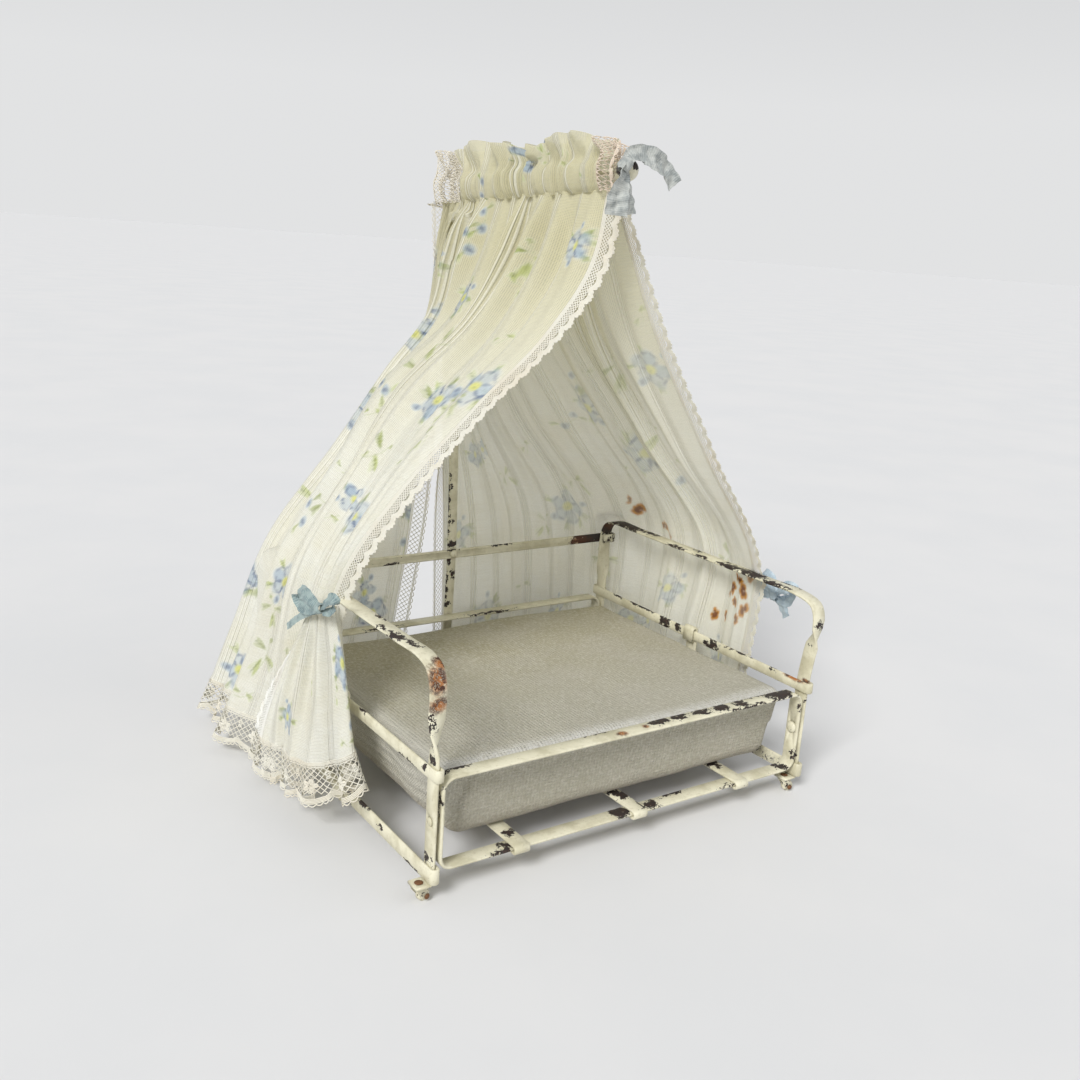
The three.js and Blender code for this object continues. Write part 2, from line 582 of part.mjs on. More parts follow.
// A ribbon bow: a knot between two loops, with two tails, along the two axes given.
function bow(centre, loopAxis, tailAxis, size) {
  const thin = new THREE.Vector3().crossVectors(loopAxis, tailAxis);
  const basis = new THREE.Matrix4().makeBasis(loopAxis, tailAxis, thin);
  const lobe = (a, b, sa, sb, sc) => {
    const ball = new THREE.SphereGeometry(1, 10, 6);
    ball.scale(sa * size, sb * size, sc * size);
    ball.translate(a * size, b * size, 0);
    ball.applyMatrix4(basis);
    ball.translate(centre.x, centre.y, centre.z);
    return weld(ball);
  };
  return join(
    lobe(0, 0, 0.25, 0.28, 0.26),
    lobe(-0.5, 0.03, 0.48, 0.32, 0.22),
    lobe(0.5, -0.03, 0.48, 0.34, 0.21),
    lobe(-0.32, 0.6, 0.2, 0.6, 0.16),
    lobe(0.3, 0.62, 0.21, 0.61, 0.15),
  );
}

// ---- assembly -----------------------------------------------------------------------------------------
endFrame(-1, 'left', 0.4, 54, 41);
endFrame(1, 'right', 3.2, 60, 52);

const poleFootRivetY = DEPTH;
const footRivetFrom = v3(POLE_X + 1.2, poleFootRivetY, 0);
const footRivetTo = v3(POLE_X + 1.2, poleFootRivetY, 20);
add('front_loop', loopFrame(0), enamel);
add('rear_loop', drill(loopFrame(DEPTH), footRivetFrom, footRivetTo, RIVET_HOLE_RADIUS), enamel);
SLAT_X.forEach((x, i) => {
  const name = `slat_${['left', 'middle', 'right'][i]}`;
  const strip = slat(x);
  add(name, i === 1 ? drill(strip, footRivetFrom, footRivetTo, RIVET_HOLE_RADIUS) : strip, enamel);
});

const highRivetX = POLE_X + 0.5;
const highRivetFrom = v3(highRivetX, DEPTH - 4, HIGH_RAIL_Z);
const highRivetTo = v3(highRivetX, DEPTH + 6, HIGH_RAIL_Z);
add('high_rear_rail', drill(highRail(), highRivetFrom, highRivetTo, RIVET_HOLE_RADIUS), enamel);
const poleStrip = bendStrip(poleCurve.getPoints(POLE_STEPS), POLE_WIDTH, POLE_THICKNESS, () => X_AXIS);
const drilledPole = drill(poleStrip, highRivetFrom, highRivetTo, RIVET_HOLE_RADIUS);
const footHoleTop = v3(footRivetTo.x, footRivetTo.y, 12);
add('canopy_pole', drill(drilledPole, footRivetFrom, footHoleTop, RIVET_HOLE_RADIUS), enamel);
addRivet('pole_rivet_high', HIGH_POLE_RIVET, SEAM + STRIP_THICKNESS + POLE_THICKNESS + 2.5 * RIVET_EASE,
  v3(highRivetX, highRailY - half - RIVET_EASE, HIGH_RAIL_Z), Y_AXIS);
const footTop = LOOP_BOTTOM_Z + reach + half;
addRivet('pole_rivet_foot', FOOT_POLE_RIVET, footTop - (poleFootZ - POLE_THICKNESS / 2) + 0.3,
  v3(footRivetFrom.x, poleFootRivetY, footTop + RIVET_EASE), Z_AXIS.clone().negate());

const bead = weld(new THREE.SphereGeometry(BEAD_RADIUS, 18, 12));
add('rod_end_bead', drill(bead, v3(0, 0.6, 0), v3(0, 4, 0), 2.3), enamel)
  .position.set(POLE_X - 0.5, ROD_FRONT_Y - 1, ROD_FRONT_Z);

const corners = [ // name, side, Y and how far the caster is turned, in degrees
  ['front_left', -1, 0, 12],
  ['front_right', 1, 0, -16],
  ['rear_left', -1, DEPTH, 34],
  ['rear_right', 1, DEPTH, -28],
];
for (const [corner, side, y, yaw] of corners) addCaster(corner, side * LENGTH / 2, y, yaw);

add('mattress', mattress(), flannel);
const drapes = [['left', leftThreads], ['right', rightThreads]];
for (const [label, threads] of drapes) {
  add(`canopy_${label}_drape`, drape(threads, [0, HEM_START], [EDGE_END, 1], 18, 20), voile);
  add(`canopy_${label}_edge_lace`, drape(threads, [0, HEM_START], [0, EDGE_END - EDGE_GAP], 18, 1), lace);
  add(`canopy_${label}_hem_lace`, drape(threads, [HEM_START + HEM_GAP, 1], [0, 1], 2, 20), lace);
}
add('canopy_heading', heading(), voile);
const down = Z_AXIS.clone().negate();
add('bow_rod_end', bow(v3(1.5, 19.6, 194), X_AXIS, down, 9), ribbon);
add('bow_left_arm', bow(v3(-82.5, 60, 66), Y_AXIS, down, 9), ribbon);
add('bow_right_arm', bow(v3(81, 24, 61), Y_AXIS, down, 6.5), ribbon);

// ---- origin at the bottom centre of the bounding box --------------------------------------------------
const bounds = new THREE.Box3().setFromObject(group);
const middle = bounds.getCenter(new THREE.Vector3());
group.position.set(-middle.x, -middle.y, -bounds.min.z);
group.updateMatrixWorld(true);

export default group;
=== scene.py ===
# Doll's day bed with a canopy on one rear pole: the looks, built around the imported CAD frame.
# Lengths in this script are millimetres in the bed's own axes: X along the bed from mid-length, Y back from
# the front posts, Z up from the floor. row() turns them into the frame's metres.
import math

import bpy
import numpy as np
from mathutils import Matrix, Vector


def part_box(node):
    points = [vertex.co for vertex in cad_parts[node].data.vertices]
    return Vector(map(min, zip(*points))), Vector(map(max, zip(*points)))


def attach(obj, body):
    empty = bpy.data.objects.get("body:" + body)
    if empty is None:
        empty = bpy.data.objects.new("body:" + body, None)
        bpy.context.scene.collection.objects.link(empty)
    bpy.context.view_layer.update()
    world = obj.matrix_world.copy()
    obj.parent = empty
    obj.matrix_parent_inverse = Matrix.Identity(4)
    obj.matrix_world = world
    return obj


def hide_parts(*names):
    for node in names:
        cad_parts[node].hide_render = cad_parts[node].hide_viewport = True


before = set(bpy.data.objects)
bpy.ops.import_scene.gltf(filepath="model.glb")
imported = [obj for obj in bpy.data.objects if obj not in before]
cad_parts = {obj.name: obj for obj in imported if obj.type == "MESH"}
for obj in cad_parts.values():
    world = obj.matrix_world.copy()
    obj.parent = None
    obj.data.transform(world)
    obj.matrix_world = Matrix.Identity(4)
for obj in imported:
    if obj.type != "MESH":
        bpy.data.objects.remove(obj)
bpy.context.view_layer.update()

MM = 0.001
TURN = 2 * math.pi
loop_low, loop_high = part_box("front_loop")
BED_ORIGIN = np.array([(loop_low.x + loop_high.x) / 2, (loop_low.y + loop_high.y) / 2, 0.0])
DEPTH = 111.2  # front posts to rear posts
ROD_FRONT = (-1.5, 27.0, 195.4)
ROD_REAR = (-1.5, 117.0, 191.0)

# The block that the drapes keep clear of, and the pole behind it
ARM_CLEAR = 73.9  # past the arms' outer faces
CORNER_CLEAR = 2.6  # more, where the high rail's ends stick out
REAR_CLEAR = 116.8  # past the side rails' rear ends
RAIL_TOP = 63.5
ARM_TOP = 70.6
BLOCK_ROUNDING = 18.0
POLE_LEFT, POLE_RIGHT, POLE_FRONT, POLE_REAR = -5.6, 3.6, 107, 118.8
POLE_TOP = 182

# The drapes
CASING_DROP = 5.0  # from the rod's middle to the seam where the drapes begin
HEM_DEEP = 13.0  # what the hem lace takes of a net of threads; the front and rear edge laces follow
EDGE_DEEP = 5.2
REAR_DEEP = 6.5
CLOTH_STEP = 0.63  # between the points of a drape, which hold its print
SETTLING = 14  # rounds of clearing the bed and smoothing
DRAPE_FULLNESS = 1.25  # flat width over the net's width
TAIL_FULLNESS = 1.3
TAIL_BELOW = 130.0  # how far under the casing the tail begins
PRINT_SCALE = 1.55

# The heading: a sleeve on the rod and the frill above it
HEADING_FRONT, HEADING_REAR = 27.6, 131.5
HEADING_TALL = 24.0
HEADING_FULLNESS = 1.35
HEADING_PRINT_SPREAD = 1.75  # place along the flat print for each millimetre of rod
FRONT_LACE_END = 34.5  # Y where the lace over the front end of the frill stops
REAR_LACE_START = 114.0
FRONT_LACE_WIDE = 10.0  # flat
REAR_LACE_WIDE = 23.0
PINCH = 0.57  # share of the height where the sleeve is drawn in under the frill
FLUTE = 11.5  # one wave of the frill

PAD_LOW = np.array([-66.3, 4.6, 10.8])
PAD_HIGH = np.array([66.6, 106.0, 35.2])
PAD_GRID = (96, 74, 26)
PAD_TOP_ROUND, PAD_FOOT_ROUND = 3.2, 4.6

CAMERA_PLACE = (-206.4, -233.8, 174.3)
YAW, PITCH, ROLL = math.radians(-35.28), math.radians(14.85), math.radians(3.98)
LENS = 37.38
FLOOR_HALF = 30.0  # metres
# name, place, strength, angle across in degrees
LAMPS = (("key", (-520, -260, 560), 2.75, 20), ("fill", (520, -420, 380), 0.45, 60))
LIT_MIDDLE = (0, 55, 70)

REPLACED = {"mattress", "canopy_heading", "bow_rod_end", "bow_left_arm", "bow_right_arm"}
for side in ("left", "right"):
    REPLACED |= {f"canopy_{side}_{part}" for part in ("drape", "edge_lace", "hem_lace")}

IVORY = (0.70, 0.665, 0.505)
# the ivory's colour in shade, painted on in patches
IVORY_IN_SHADE = (0.50, 0.465, 0.32)
GRIME = (0.30, 0.25, 0.13)
CHIP_LIP = (0.86, 0.83, 0.66)
BARE = (0.018, 0.015, 0.014)
BROWN_IRON = (0.07, 0.03, 0.018)
RUST = (0.07, 0.022, 0.008)
ORANGE_RUST = (0.36, 0.125, 0.022)

CREAM = (0.885, 0.885, 0.82)
# the voile's colour in painted shade, near the top of the drapes and in the heading
YELLOW_SHADE = (0.655, 0.62, 0.42)
BLUE = (0.24, 0.37, 0.54)
PALE_BLUE = (0.50, 0.60, 0.68)
DARK_BLUE = (0.04, 0.10, 0.26)
LEAF = (0.34, 0.40, 0.12)
LIGHT_LEAF = (0.50, 0.56, 0.22)
DARK_LEAF = (0.20, 0.25, 0.07)
YELLOW = (0.74, 0.73, 0.22)
ORANGE_STAIN = (0.56, 0.24, 0.02)
STAIN = (0.17, 0.04, 0.0)


def row(points):
    return np.asarray(points, float) * MM + BED_ORIGIN


# ---- curves, noise and meshes -----------------------------------------------------------------------------

def smooth(x, low, high):
    t = np.clip((np.asarray(x, float) - low) / (high - low), 0, 1)
    return t * t * (3 - 2 * t)


def hump(x, middle, wide):
    return np.exp(-((x - middle) / wide) ** 2)


def unit(vectors):
    return vectors / np.maximum(np.linalg.norm(vectors, axis=-1, keepdims=True), 1e-9)


def square_to(vectors, along):
    """The unit vectors nearest to these that are at right angles to the unit vectors along."""
    return unit(vectors - along * np.sum(vectors * along, axis=1, keepdims=True))


def through(knots, values, t):
    """A smooth curve through values at knots, at each t. values may have any further axes."""
    knots, values, t = np.asarray(knots, float), np.asarray(values, float), np.asarray(t, float)
    slopes = np.gradient(values, knots, axis=0)
    i = np.clip(np.searchsorted(knots, t, side="right") - 1, 0, len(knots) - 2)
    step = knots[i + 1] - knots[i]
    shape = (-1,) + (1,) * (values.ndim - 1)
    s, step = ((t - knots[i]) / step).reshape(shape), step.reshape(shape)
    a, b = values[i], values[i + 1]
    return ((1 + 2 * s) * (1 - s) ** 2 * a + s * (1 - s) ** 2 * step * slopes[i]
            + s * s * (3 - 2 * s) * b + s * s * (s - 1) * step * slopes[i + 1])


def lengths(points):
    """Distance along a line of points, from its first."""
    return np.concatenate([[0], np.cumsum(np.linalg.norm(np.diff(points, axis=0), axis=1))])


def wander(x, seed, scale):
    """Smooth aimless values around 0, about 1 at most, that change over `scale`."""
    random = np.random.default_rng(seed)
    total = 0
    for _ in range(5):
        strength, rate, phase = random.uniform(0.5, 1), random.uniform(0.5, 2), random.uniform(0, 6.3)
        total = total + strength * np.sin(x / scale * rate + phase)
    return total / 2.5


def surface_normals(points):
    return unit(np.cross(np.gradient(points, axis=1), np.gradient(points, axis=0)))


def link(thing):
    bpy.context.scene.collection.objects.link(thing)
    return thing


def new_mesh(name, points, faces, material, slot, body="bed", **attributes):
    """A smooth-shaded piece that rides on a body. An attribute is a place (2 values) or a colour (4) by point."""
    mesh = bpy.data.meshes.new(name)
    mesh.from_pydata(row(points).tolist(), [], faces)
    for key, data in attributes.items():
        kind = {2: "FLOAT2", 4: "FLOAT_COLOR"}[data.shape[-1]]
        layer = mesh.attributes.new(key, kind, "POINT")
        layer.data.foreach_set("vector" if kind == "FLOAT2" else "color", data.astype(np.float32).ravel())
    mesh.polygons.foreach_set("use_smooth", [True] * len(mesh.polygons))
    mesh.materials.append(material)
    piece = link(bpy.data.objects.new(name, mesh))
    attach(piece, body)
    return piece


def grid_faces(rows, columns, start=0, wrap=False):
    """Quads over rows by columns of points; wrap joins the last column to the first."""
    faces = []
    for i in range(rows - 1):
        for j in range(columns if wrap else columns - 1):
            k = (j + 1) % columns
            faces.append((start + i * columns + j, start + i * columns + k,
                          start + (i + 1) * columns + k, start + (i + 1) * columns + j))
    return faces


# ---- shader graphs ----------------------------------------------------------------------------------------

class Graph:
    """Short names for building a material's nodes. A value may be a socket or a plain number or colour."""

    def __init__(self, name):
        self.material = bpy.data.materials.new(name)
        self.material.use_nodes = True
        self.nodes = self.material.node_tree.nodes
        self.links = self.material.node_tree.links
        self.nodes.clear()

    def set(self, socket, value):
        if isinstance(value, bpy.types.NodeSocket):
            self.links.new(value, socket)
        elif isinstance(value, tuple) and len(value) == 3 and len(socket.default_value) == 4:
            socket.default_value = (*value, 1)
        else:
            socket.default_value = value

    def node(self, kind, output=0, settings=(), **inputs):
        node = self.nodes.new("ShaderNode" + kind)
        for key, value in dict(settings).items():
            setattr(node, key, value)
        for key, value in inputs.items():
            self.set(node.inputs[int(key[1:]) if key[1:].isdigit() else key.replace("_", " ")], value)
        return node.outputs[output]

    def math(self, operation, a, b=0.0):
        return self.node("Math", settings={"operation": operation}, i0=a, i1=b)

    def plus(self, a, b):
        return self.math("ADD", a, b)

    def minus(self, a, b):
        return self.math("SUBTRACT", a, b)

    def times(self, a, b):
        return self.math("MULTIPLY", a, b)

    def larger(self, a, b):
        return self.math("MAXIMUM", a, b)

    def wave(self, value, period):
        return self.math("SINE", self.times(value, TURN / period))

    def vector(self, operation, a, b=(0, 0, 0), output=0):
        return self.node("VectorMath", output, {"operation": operation}, i0=a, i1=b)

    def split(self, vector):
        return self.node("SeparateXYZ", Vector=vector).node.outputs

    def place(self):
        return self.node("TexCoord", "Object")

    def bed(self):
        """The surface's place in the bed's axes, in millimetres."""
        scaled = self.vector("SCALE", self.place())
        scaled.node.inputs["Scale"].default_value = 1 / MM
        return self.vector("SUBTRACT", scaled, tuple(BED_ORIGIN / MM))

    def noise(self, where, scale, detail=3.0, roughness=0.55, output="Fac"):
        return self.node("TexNoise", output, Vector=where, Scale=scale, Detail=detail, Roughness=roughness)

    def ramp(self, value, low, high, to_low=0.0, to_high=1.0):
        settings = {"interpolation_type": "SMOOTHSTEP"}
        return self.node("MapRange", 0, settings, i0=value, i1=low, i2=high, i3=to_low, i4=to_high)

    def mix(self, share, a, b):
        return self.node("Mix", 2, {"data_type": "RGBA"}, i0=share, i6=a, i7=b)

    def attribute(self, name, output="Vector"):
        return self.node("Attribute", output, {"attribute_name": name})

    def bump(self, height, strength, distance):
        return self.node("Bump", Height=height, Strength=strength, Distance=distance)

    def principled(self, **inputs):
        return self.node("BsdfPrincipled", **inputs)

    def shine_through(self, share, front, colour, normal):
        """A shader with some of the light that falls on its back coming through."""
        behind = self.node("BsdfTranslucent", Color=colour, Normal=normal)
        return self.node("MixShader", i0=share, i1=front, i2=behind)

    def finish(self, shader):
        self.links.new(shader, self.nodes.new("ShaderNodeOutputMaterial").inputs[0])
        return self.material

    def blots(self, where, blots, ragged):
        """Below 0 inside any of the blots, each (x, y, z, half sizes) in millimetres, with ragged edges."""
        nearest = None
        for blot in blots:
            offset = self.vector("SUBTRACT", where, blot[:3])
            away = self.vector("LENGTH", self.vector("DIVIDE", offset, blot[3:]), output=1)
            nearest = away if nearest is None else self.math("MINIMUM", nearest, away)
        return 1.0 if nearest is None else self.minus(self.plus(nearest, ragged), 1.0)


# ---- enamelled metal ----------------------------------------------------------------------------------------

def enamel(name, chips=(), rust=(), flecks=0.5, grime=0.35):
    """Old ivory enamel on tin, with painted shade in large patches, chips to black iron and rust where listed, and
    fine flecks anywhere.
    """
    g = Graph(name)
    where = g.bed()
    coarse = g.noise(where, 0.55, 4, 0.6)
    fine = g.noise(where, 2.2, 4, 0.65)
    ragged = g.plus(g.times(g.minus(fine, 0.5), 1.3), g.times(g.minus(coarse, 0.5), 1.5))
    pushed = g.vector("SUBTRACT", g.noise(where, 0.42, 3, 0.6, "Color"), (0.5, 0.5, 0.5))
    warped = g.vector("ADD", where, g.vector("MULTIPLY", pushed, (7.0, 7.0, 3.0)))
    chip_edge = g.blots(warped, chips, ragged)
    fleck_level = 0.80 - 0.1 * flecks
    specks = g.ramp(g.noise(where, 1.3, 2, 0.5), fleck_level, fleck_level + 0.015)
    bare = g.larger(g.ramp(chip_edge, 0.06, -0.01), specks)
    rusty = g.ramp(g.blots(where, rust, ragged), 0.35, -0.45)
    # painted shade: the ivory mixed at random towards its colour in shade, in large patches
    paint = g.mix(g.ramp(g.noise(where, 0.12, 3, 0.6), 0.42, 0.68, 0.0, 0.8), IVORY, IVORY_IN_SHADE)
    paint = g.mix(g.ramp(g.noise(where, 0.9, 5, 0.7), 0.5, 0.75, 0.0, grime), paint, GRIME)
    lip = g.ramp(g.math("ABSOLUTE", g.minus(chip_edge, 0.12)), 0.10, 0.0, 0.0, 0.55)
    paint = g.mix(lip, paint, CHIP_LIP)
    rust_tone = g.mix(g.ramp(coarse, 0.42, 0.58), RUST, ORANGE_RUST)
    paint = g.mix(g.times(rusty, g.ramp(fine, 0.30, 0.52, 0.35, 1.0)), paint, rust_tone)
    metal = g.mix(rusty, g.mix(g.ramp(fine, 0.45, 0.7), BARE, BROWN_IRON), RUST)
    colour = g.mix(bare, paint, metal)
    rough = g.plus(g.ramp(fine, 0.3, 0.7, 0.34, 0.5), g.times(bare, 0.2))
    height = g.plus(g.minus(g.times(coarse, 0.5), g.times(bare, 0.9)), g.times(fine, 0.12))
    normal = g.bump(height, 0.55, 0.00022)
    return g.finish(g.principled(Base_Color=colour, Roughness=rough, Normal=normal, Metallic=0.0))


def rusty_pin(name):
    g = Graph(name)
    grain = g.noise(g.bed(), 2.5, 5, 0.65)
    colour = g.mix(grain, (0.05, 0.03, 0.02), (0.30, 0.13, 0.05))
    normal = g.bump(grain, 0.6, 0.0002)
    return g.finish(g.principled(Base_Color=colour, Roughness=0.75, Metallic=0.3, Normal=normal))


# Chips and rust by node, each (x, y, z, half sizes), where the old paint is seen to be gone.
CHIPS = {
    "arm_hoop_left": [
        (-70, 14, 68.6, 0.9, 3.4, 1.2), (-71.2, 22, 68.6, 1.6, 4.6, 1.0), (-71.4, 30, 68.6, 0.8, 2.2, 1.0),
        (-67.6, 37, 68.6, 0.8, 3.0, 1), (-71.5, 0, 48.5, 1.2, 1.4, 4.0), (-68.6, 0.5, 44, 1.0, 1.4, 2.2),
        (-70, -0.4, 41.2, 3.2, 1.2, 1.2), (-71.6, 0, 53, 0.9, 1.2, 2.0), (-70, -1.6, 62, 2.8, 0.8, 0.9),
        (-67.6, 3, 67.5, 0.9, 3.0, 1.0), (-70, 0, 12, 0.9, 3.2, 1.6), (-70, DEPTH, 60, 3, 1.5, 4),
    ],
    "arm_hoop_right": [
        (70, 109, 66.5, 4.5, 4.5, 6.0), (70, 98, 68.6, 4.0, 9.0, 2.0), (70.8, 84, 68.8, 1.6, 4.0, 0.8),
        (68.0, 66, 68.6, 0.9, 5.0, 1.0), (67.8, 52, 68.4, 0.9, 4.0, 0.9), (71.8, 58, 68.8, 0.9, 3.0, 0.8),
        (68.4, 38, 68.6, 2.2, 5.6, 1.0), (69.6, 28, 68.6, 3.0, 6.0, 1.2), (68.2, 16, 68.4, 1.2, 7.0, 1.2),
        (72.4, 12, 68.4, 0.8, 5.0, 0.8), (71, -2.6, 59, 3.2, 1.0, 2.7), (67.6, -2.4, 55, 0.8, 1.0, 1.6),
        (72.4, -1.2, 48, 0.7, 1.0, 4.6), (70.5, -2.0, 52.4, 2.2, 0.8, 0.8), (71.5, 0, 30, 0.8, 2.0, 5.0),
        (70.5, 2.4, 22, 1.0, 0.8, 4.0), (70, -2.4, 33, 1.2, 0.7, 1.3), (70, 0, 13, 0.9, 1.6, 1.3),
    ],
    "mid_side_rail_right": [
        (69, 69, 37.8, 1.4, 3.6, 2.6), (69, 61.5, 38.6, 1.4, 1.6, 1.6), (69, 43, 37.6, 1.4, 3.4, 2.6),
        (69, 84, 39.4, 1.3, 9.0, 0.5), (69, 30, 39.5, 1.3, 6.0, 0.45), (69, 12, 39.3, 1.3, 2.0, 0.8),
        (69, 98, 39.3, 1.3, 3.0, 0.5),
    ],
    "mid_side_rail_left": [
        (-71, 40, 39.3, 1.4, 2.0, 0.6), (-71, 12, 36.2, 1.4, 5.0, 0.5), (-71, 2, 38.2, 1.6, 1.2, 1.3),
        (-69, 80, 39.3, 1.2, 4.0, 0.6),
    ],
    "bottom_side_rail_left": [
        (-71, 27, 8.5, 1.4, 2.2, 1.1), (-71, 38, 10.2, 1.4, 2.6, 1.0), (-71, 48, 9.0, 1.4, 2.0, 2.4),
        (-71, 8, 6.4, 1.4, 5.0, 0.5),
    ],
    "bottom_side_rail_right": [(69, 60, 8.2, 1.8, 44, 3.4)],
    "high_rear_rail": [
        (63, 112.2, 60.2, 9.5, 2.4, 3.4), (-26, 111.6, 58.9, 3.0, 1.2, 0.6), (-1, 111.6, 61.8, 2.6, 1.4, 0.6),
        (-44, 111.6, 61.6, 6.0, 1.2, 0.5), (20, 111.6, 61.8, 5.0, 1.2, 0.4), (71.5, 112, 60, 3, 3, 3),
    ],
    "canopy_pole": [
        (-2.0, 113.6, 58.0, 1.3, 1.5, 2.3), (-0.4, 113.6, 63.8, 2.6, 1.5, 1.3),
        (-2.6, 113.5, 46, 0.8, 1.5, 7), (-2.8, 114, 78, 0.7, 1.5, 12), (0.6, 113.6, 52, 0.8, 1.5, 2.0),
        (-1.5, 113.6, 40, 1.3, 1.5, 1.0), (-1.4, 114, 72, 0.7, 1.4, 1.0),
    ],
    "front_loop": [
        (8, 0.6, 36.3, 4.0, 1.7, 0.8), (17, 1.0, 36.3, 3.2, 1.9, 0.9), (25.5, 0.8, 36.3, 3.4, 2.0, 0.9),
        (33.5, 0.8, 36.3, 3.2, 2.2, 0.9), (42, 0.4, 36.3, 2.8, 2.4, 0.9), (59.5, 0, 36.3, 5.6, 3.0, 1.1),
        (50, 2.4, 36.3, 5.0, 0.8, 0.8), (-16, 2.5, 36.3, 6.0, 0.45, 0.7), (-62, 2.3, 36.3, 4.0, 0.8, 0.8),
        (48, -2.7, 35.8, 16.0, 0.5, 0.7), (-44.5, -0.5, 9.4, 3.4, 2.2, 1.0),
        (-49.0, -2.4, 9.2, 4.0, 0.8, 1.0), (-4.5, 0, 9.4, 3.2, 2.7, 1.2), (7.5, -0.6, 9.4, 3.2, 2.2, 1.2),
        (18, 2.2, 9.5, 5.0, 0.9, 0.8), (38, -2.3, 9.2, 4.0, 0.7, 0.8), (64, 0, 9.6, 2.5, 2.5, 1.0),
        (-68, -0.4, 30, 0.8, 1.4, 4.5), (-67.5, 1.5, 36, 2.6, 1.4, 1.8), (68, -2.0, 14, 0.9, 1.0, 2.0),
        (67.6, -1.9, 31, 0.8, 0.8, 1.6),
    ],
    "rear_loop": [(-30, DEPTH - 2, 36.3, 8, 1.0, 0.7), (15, DEPTH - 2.2, 36.3, 10, 0.8, 0.6),
                  (45, DEPTH, 9.4, 10, 2.6, 1.0)],
    "slat_left": [(-42, 4, 10.6, 2.5, 1.6, 0.8), (-44, 30, 10.6, 1.0, 8, 0.8)],
    "slat_middle": [(1.0, 8, 10.6, 2.8, 3.4, 0.8), (3, -1, 10.4, 0.9, 2, 1)],
    "slat_right": [(43, 12, 10.6, 2.8, 4.5, 0.8), (44, 40, 10.6, 2.8, 14, 0.8)],
    "rod_end_bead": [(-1.6, 23.6, 197.4, 2.6, 1.6, 1.7), (-4.6, 26, 196, 1.5, 2, 2.6)],
    "end_bar_left": [(-71, 52.4, 24, 1.5, 0.6, 7)],
    "end_bar_right": [(70, 52.4, 24, 1.5, 0.6, 7)],
}
RUSTY = {
    "arm_hoop_left": [(-70, 0.2, 63.5, 3.2, 3.4, 4.4), (-68.4, 2.5, 66.8, 2.0, 3.0, 2.0), (-70, -1, 57, 3, 1.2, 2.4)],
    "arm_hoop_right": [(70, 108, 67, 3, 4, 3), (70, -1.5, 39.8, 3.5, 1.6, 0.8)],
    "mid_side_rail_right": [(69, 3.0, 39.4, 2.0, 5.0, 0.8)],
    "front_loop": [(-7.0, -0.8, 36.3, 2.0, 1.4, 0.8), (2.6, 0, 36.3, 1.2, 1.2, 0.8)],
    "high_rear_rail": [(58, 112, 60, 5, 2, 2)],
    "canopy_pole": [(-1, 113.6, 59.6, 2.6, 1.5, 1.6)],
    "slat_right": [(43, 24, 10.6, 3, 6, 1)],
}


def dress_metal():
    """Gives each CAD node of the frame and casters worn paint, its own where chips or rust are listed, and the pins
    rusty iron, with its curves shaded smooth.
    """
    pins = rusty_pin("rusty_pin")
    worn = enamel("worn_enamel", flecks=2.0, grime=0.9)
    shared = enamel("rivet_enamel", flecks=0.9, grime=0.6)
    for name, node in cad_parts.items():
        if name in REPLACED:
            continue
        if name.startswith(("caster_axle", "swivel_pin")):
            material = pins
        elif name.startswith("caster_"):
            material = worn
        elif name in CHIPS or name in RUSTY:
            material = enamel(f"enamel_{name}", CHIPS.get(name, ()), RUSTY.get(name, ()))
        else:
            material = shared
        node.data.materials.clear()
        node.data.materials.append(material)
        node.modifiers.new("weld", "WELD").merge_threshold = 0.00001
        node.data.polygons.foreach_set("use_smooth", [True] * len(node.data.polygons))
        node.data.set_sharp_from_angle(angle=math.radians(50))


# ---- the print ----------------------------------------------------------------------------------------------

# What each kind of spray is made of, in drawing order: a stalk (from and to, each along and aside), a leaf
# (along, aside, turn, length, colour), a bloom (along, aside, radius, petals), a bud (along, aside, radius)
# and a dot (along, aside).
SPRAYS = {
    "bloom": [
        ("stalk", -4, 1, 4, -1), ("leaf", -3.4, 1.6, 2.4, 1.9, LEAF), ("leaf", -2.2, 3.0, 1.6, 1.7, LIGHT_LEAF),
        ("leaf", 3.4, -2.6, -0.6, 1.8, LIGHT_LEAF), ("leaf", 1.2, 3.4, 1.1, 1.6, LEAF),
        ("leaf", -1.4, -3.3, -1.9, 1.5, LIGHT_LEAF), ("bloom", 0, 0, 2.1, 5), ("bud", 3.9, 0.9, 1.1),
        ("bud", -4.4, -0.9, 0.9),
    ],
    "pair": [
        ("stalk", -5, 0, 5, 0.5), ("leaf", -0.4, 2.6, 1.2, 1.9, LEAF), ("leaf", 1.5, 3.0, 0.6, 1.6, LIGHT_LEAF),
        ("leaf", -6.6, 1.2, 2.8, 1.6, LIGHT_LEAF), ("leaf", 0.6, -3.4, -1.4, 1.7, LEAF),
        ("leaf", 5.6, -2.2, -0.5, 1.6, LIGHT_LEAF), ("bloom", 2.6, -0.4, 2.2, 5), ("bloom", -3.4, 0.8, 1.7, 4),
        ("bud", -6.2, -1.2, 1.0),
    ],
    "buds": [
        ("stalk", -2.5, 0, 2.5, 0), ("bud", -1.8, -0.6, 1.1), ("bud", 1.4, 0.7, 1.2),
        ("leaf", 3.2, -0.4, -0.4, 1.4, LIGHT_LEAF), ("leaf", -3.4, 0.6, 2.5, 1.2, LEAF),
    ],
    "leaves": [
        ("stalk", -2.4, 0, 2.6, 0), ("leaf", -1.2, -1.7, -1.7, 1.8, LEAF),
        ("leaf", 2.4, -0.7, -0.3, 2.1, LIGHT_LEAF), ("leaf", 0.6, 1.8, 1.1, 1.9, LIGHT_LEAF), ("dot", -2.8, 0.2),
    ],
    "twig": [
        ("stalk", -2, 0, 2, 0.4), ("leaf", -1.2, 0.7, 2.3, 1.2, LIGHT_LEAF),
        ("leaf", 1.6, -0.6, -0.5, 1.3, LIGHT_LEAF),
    ],
}


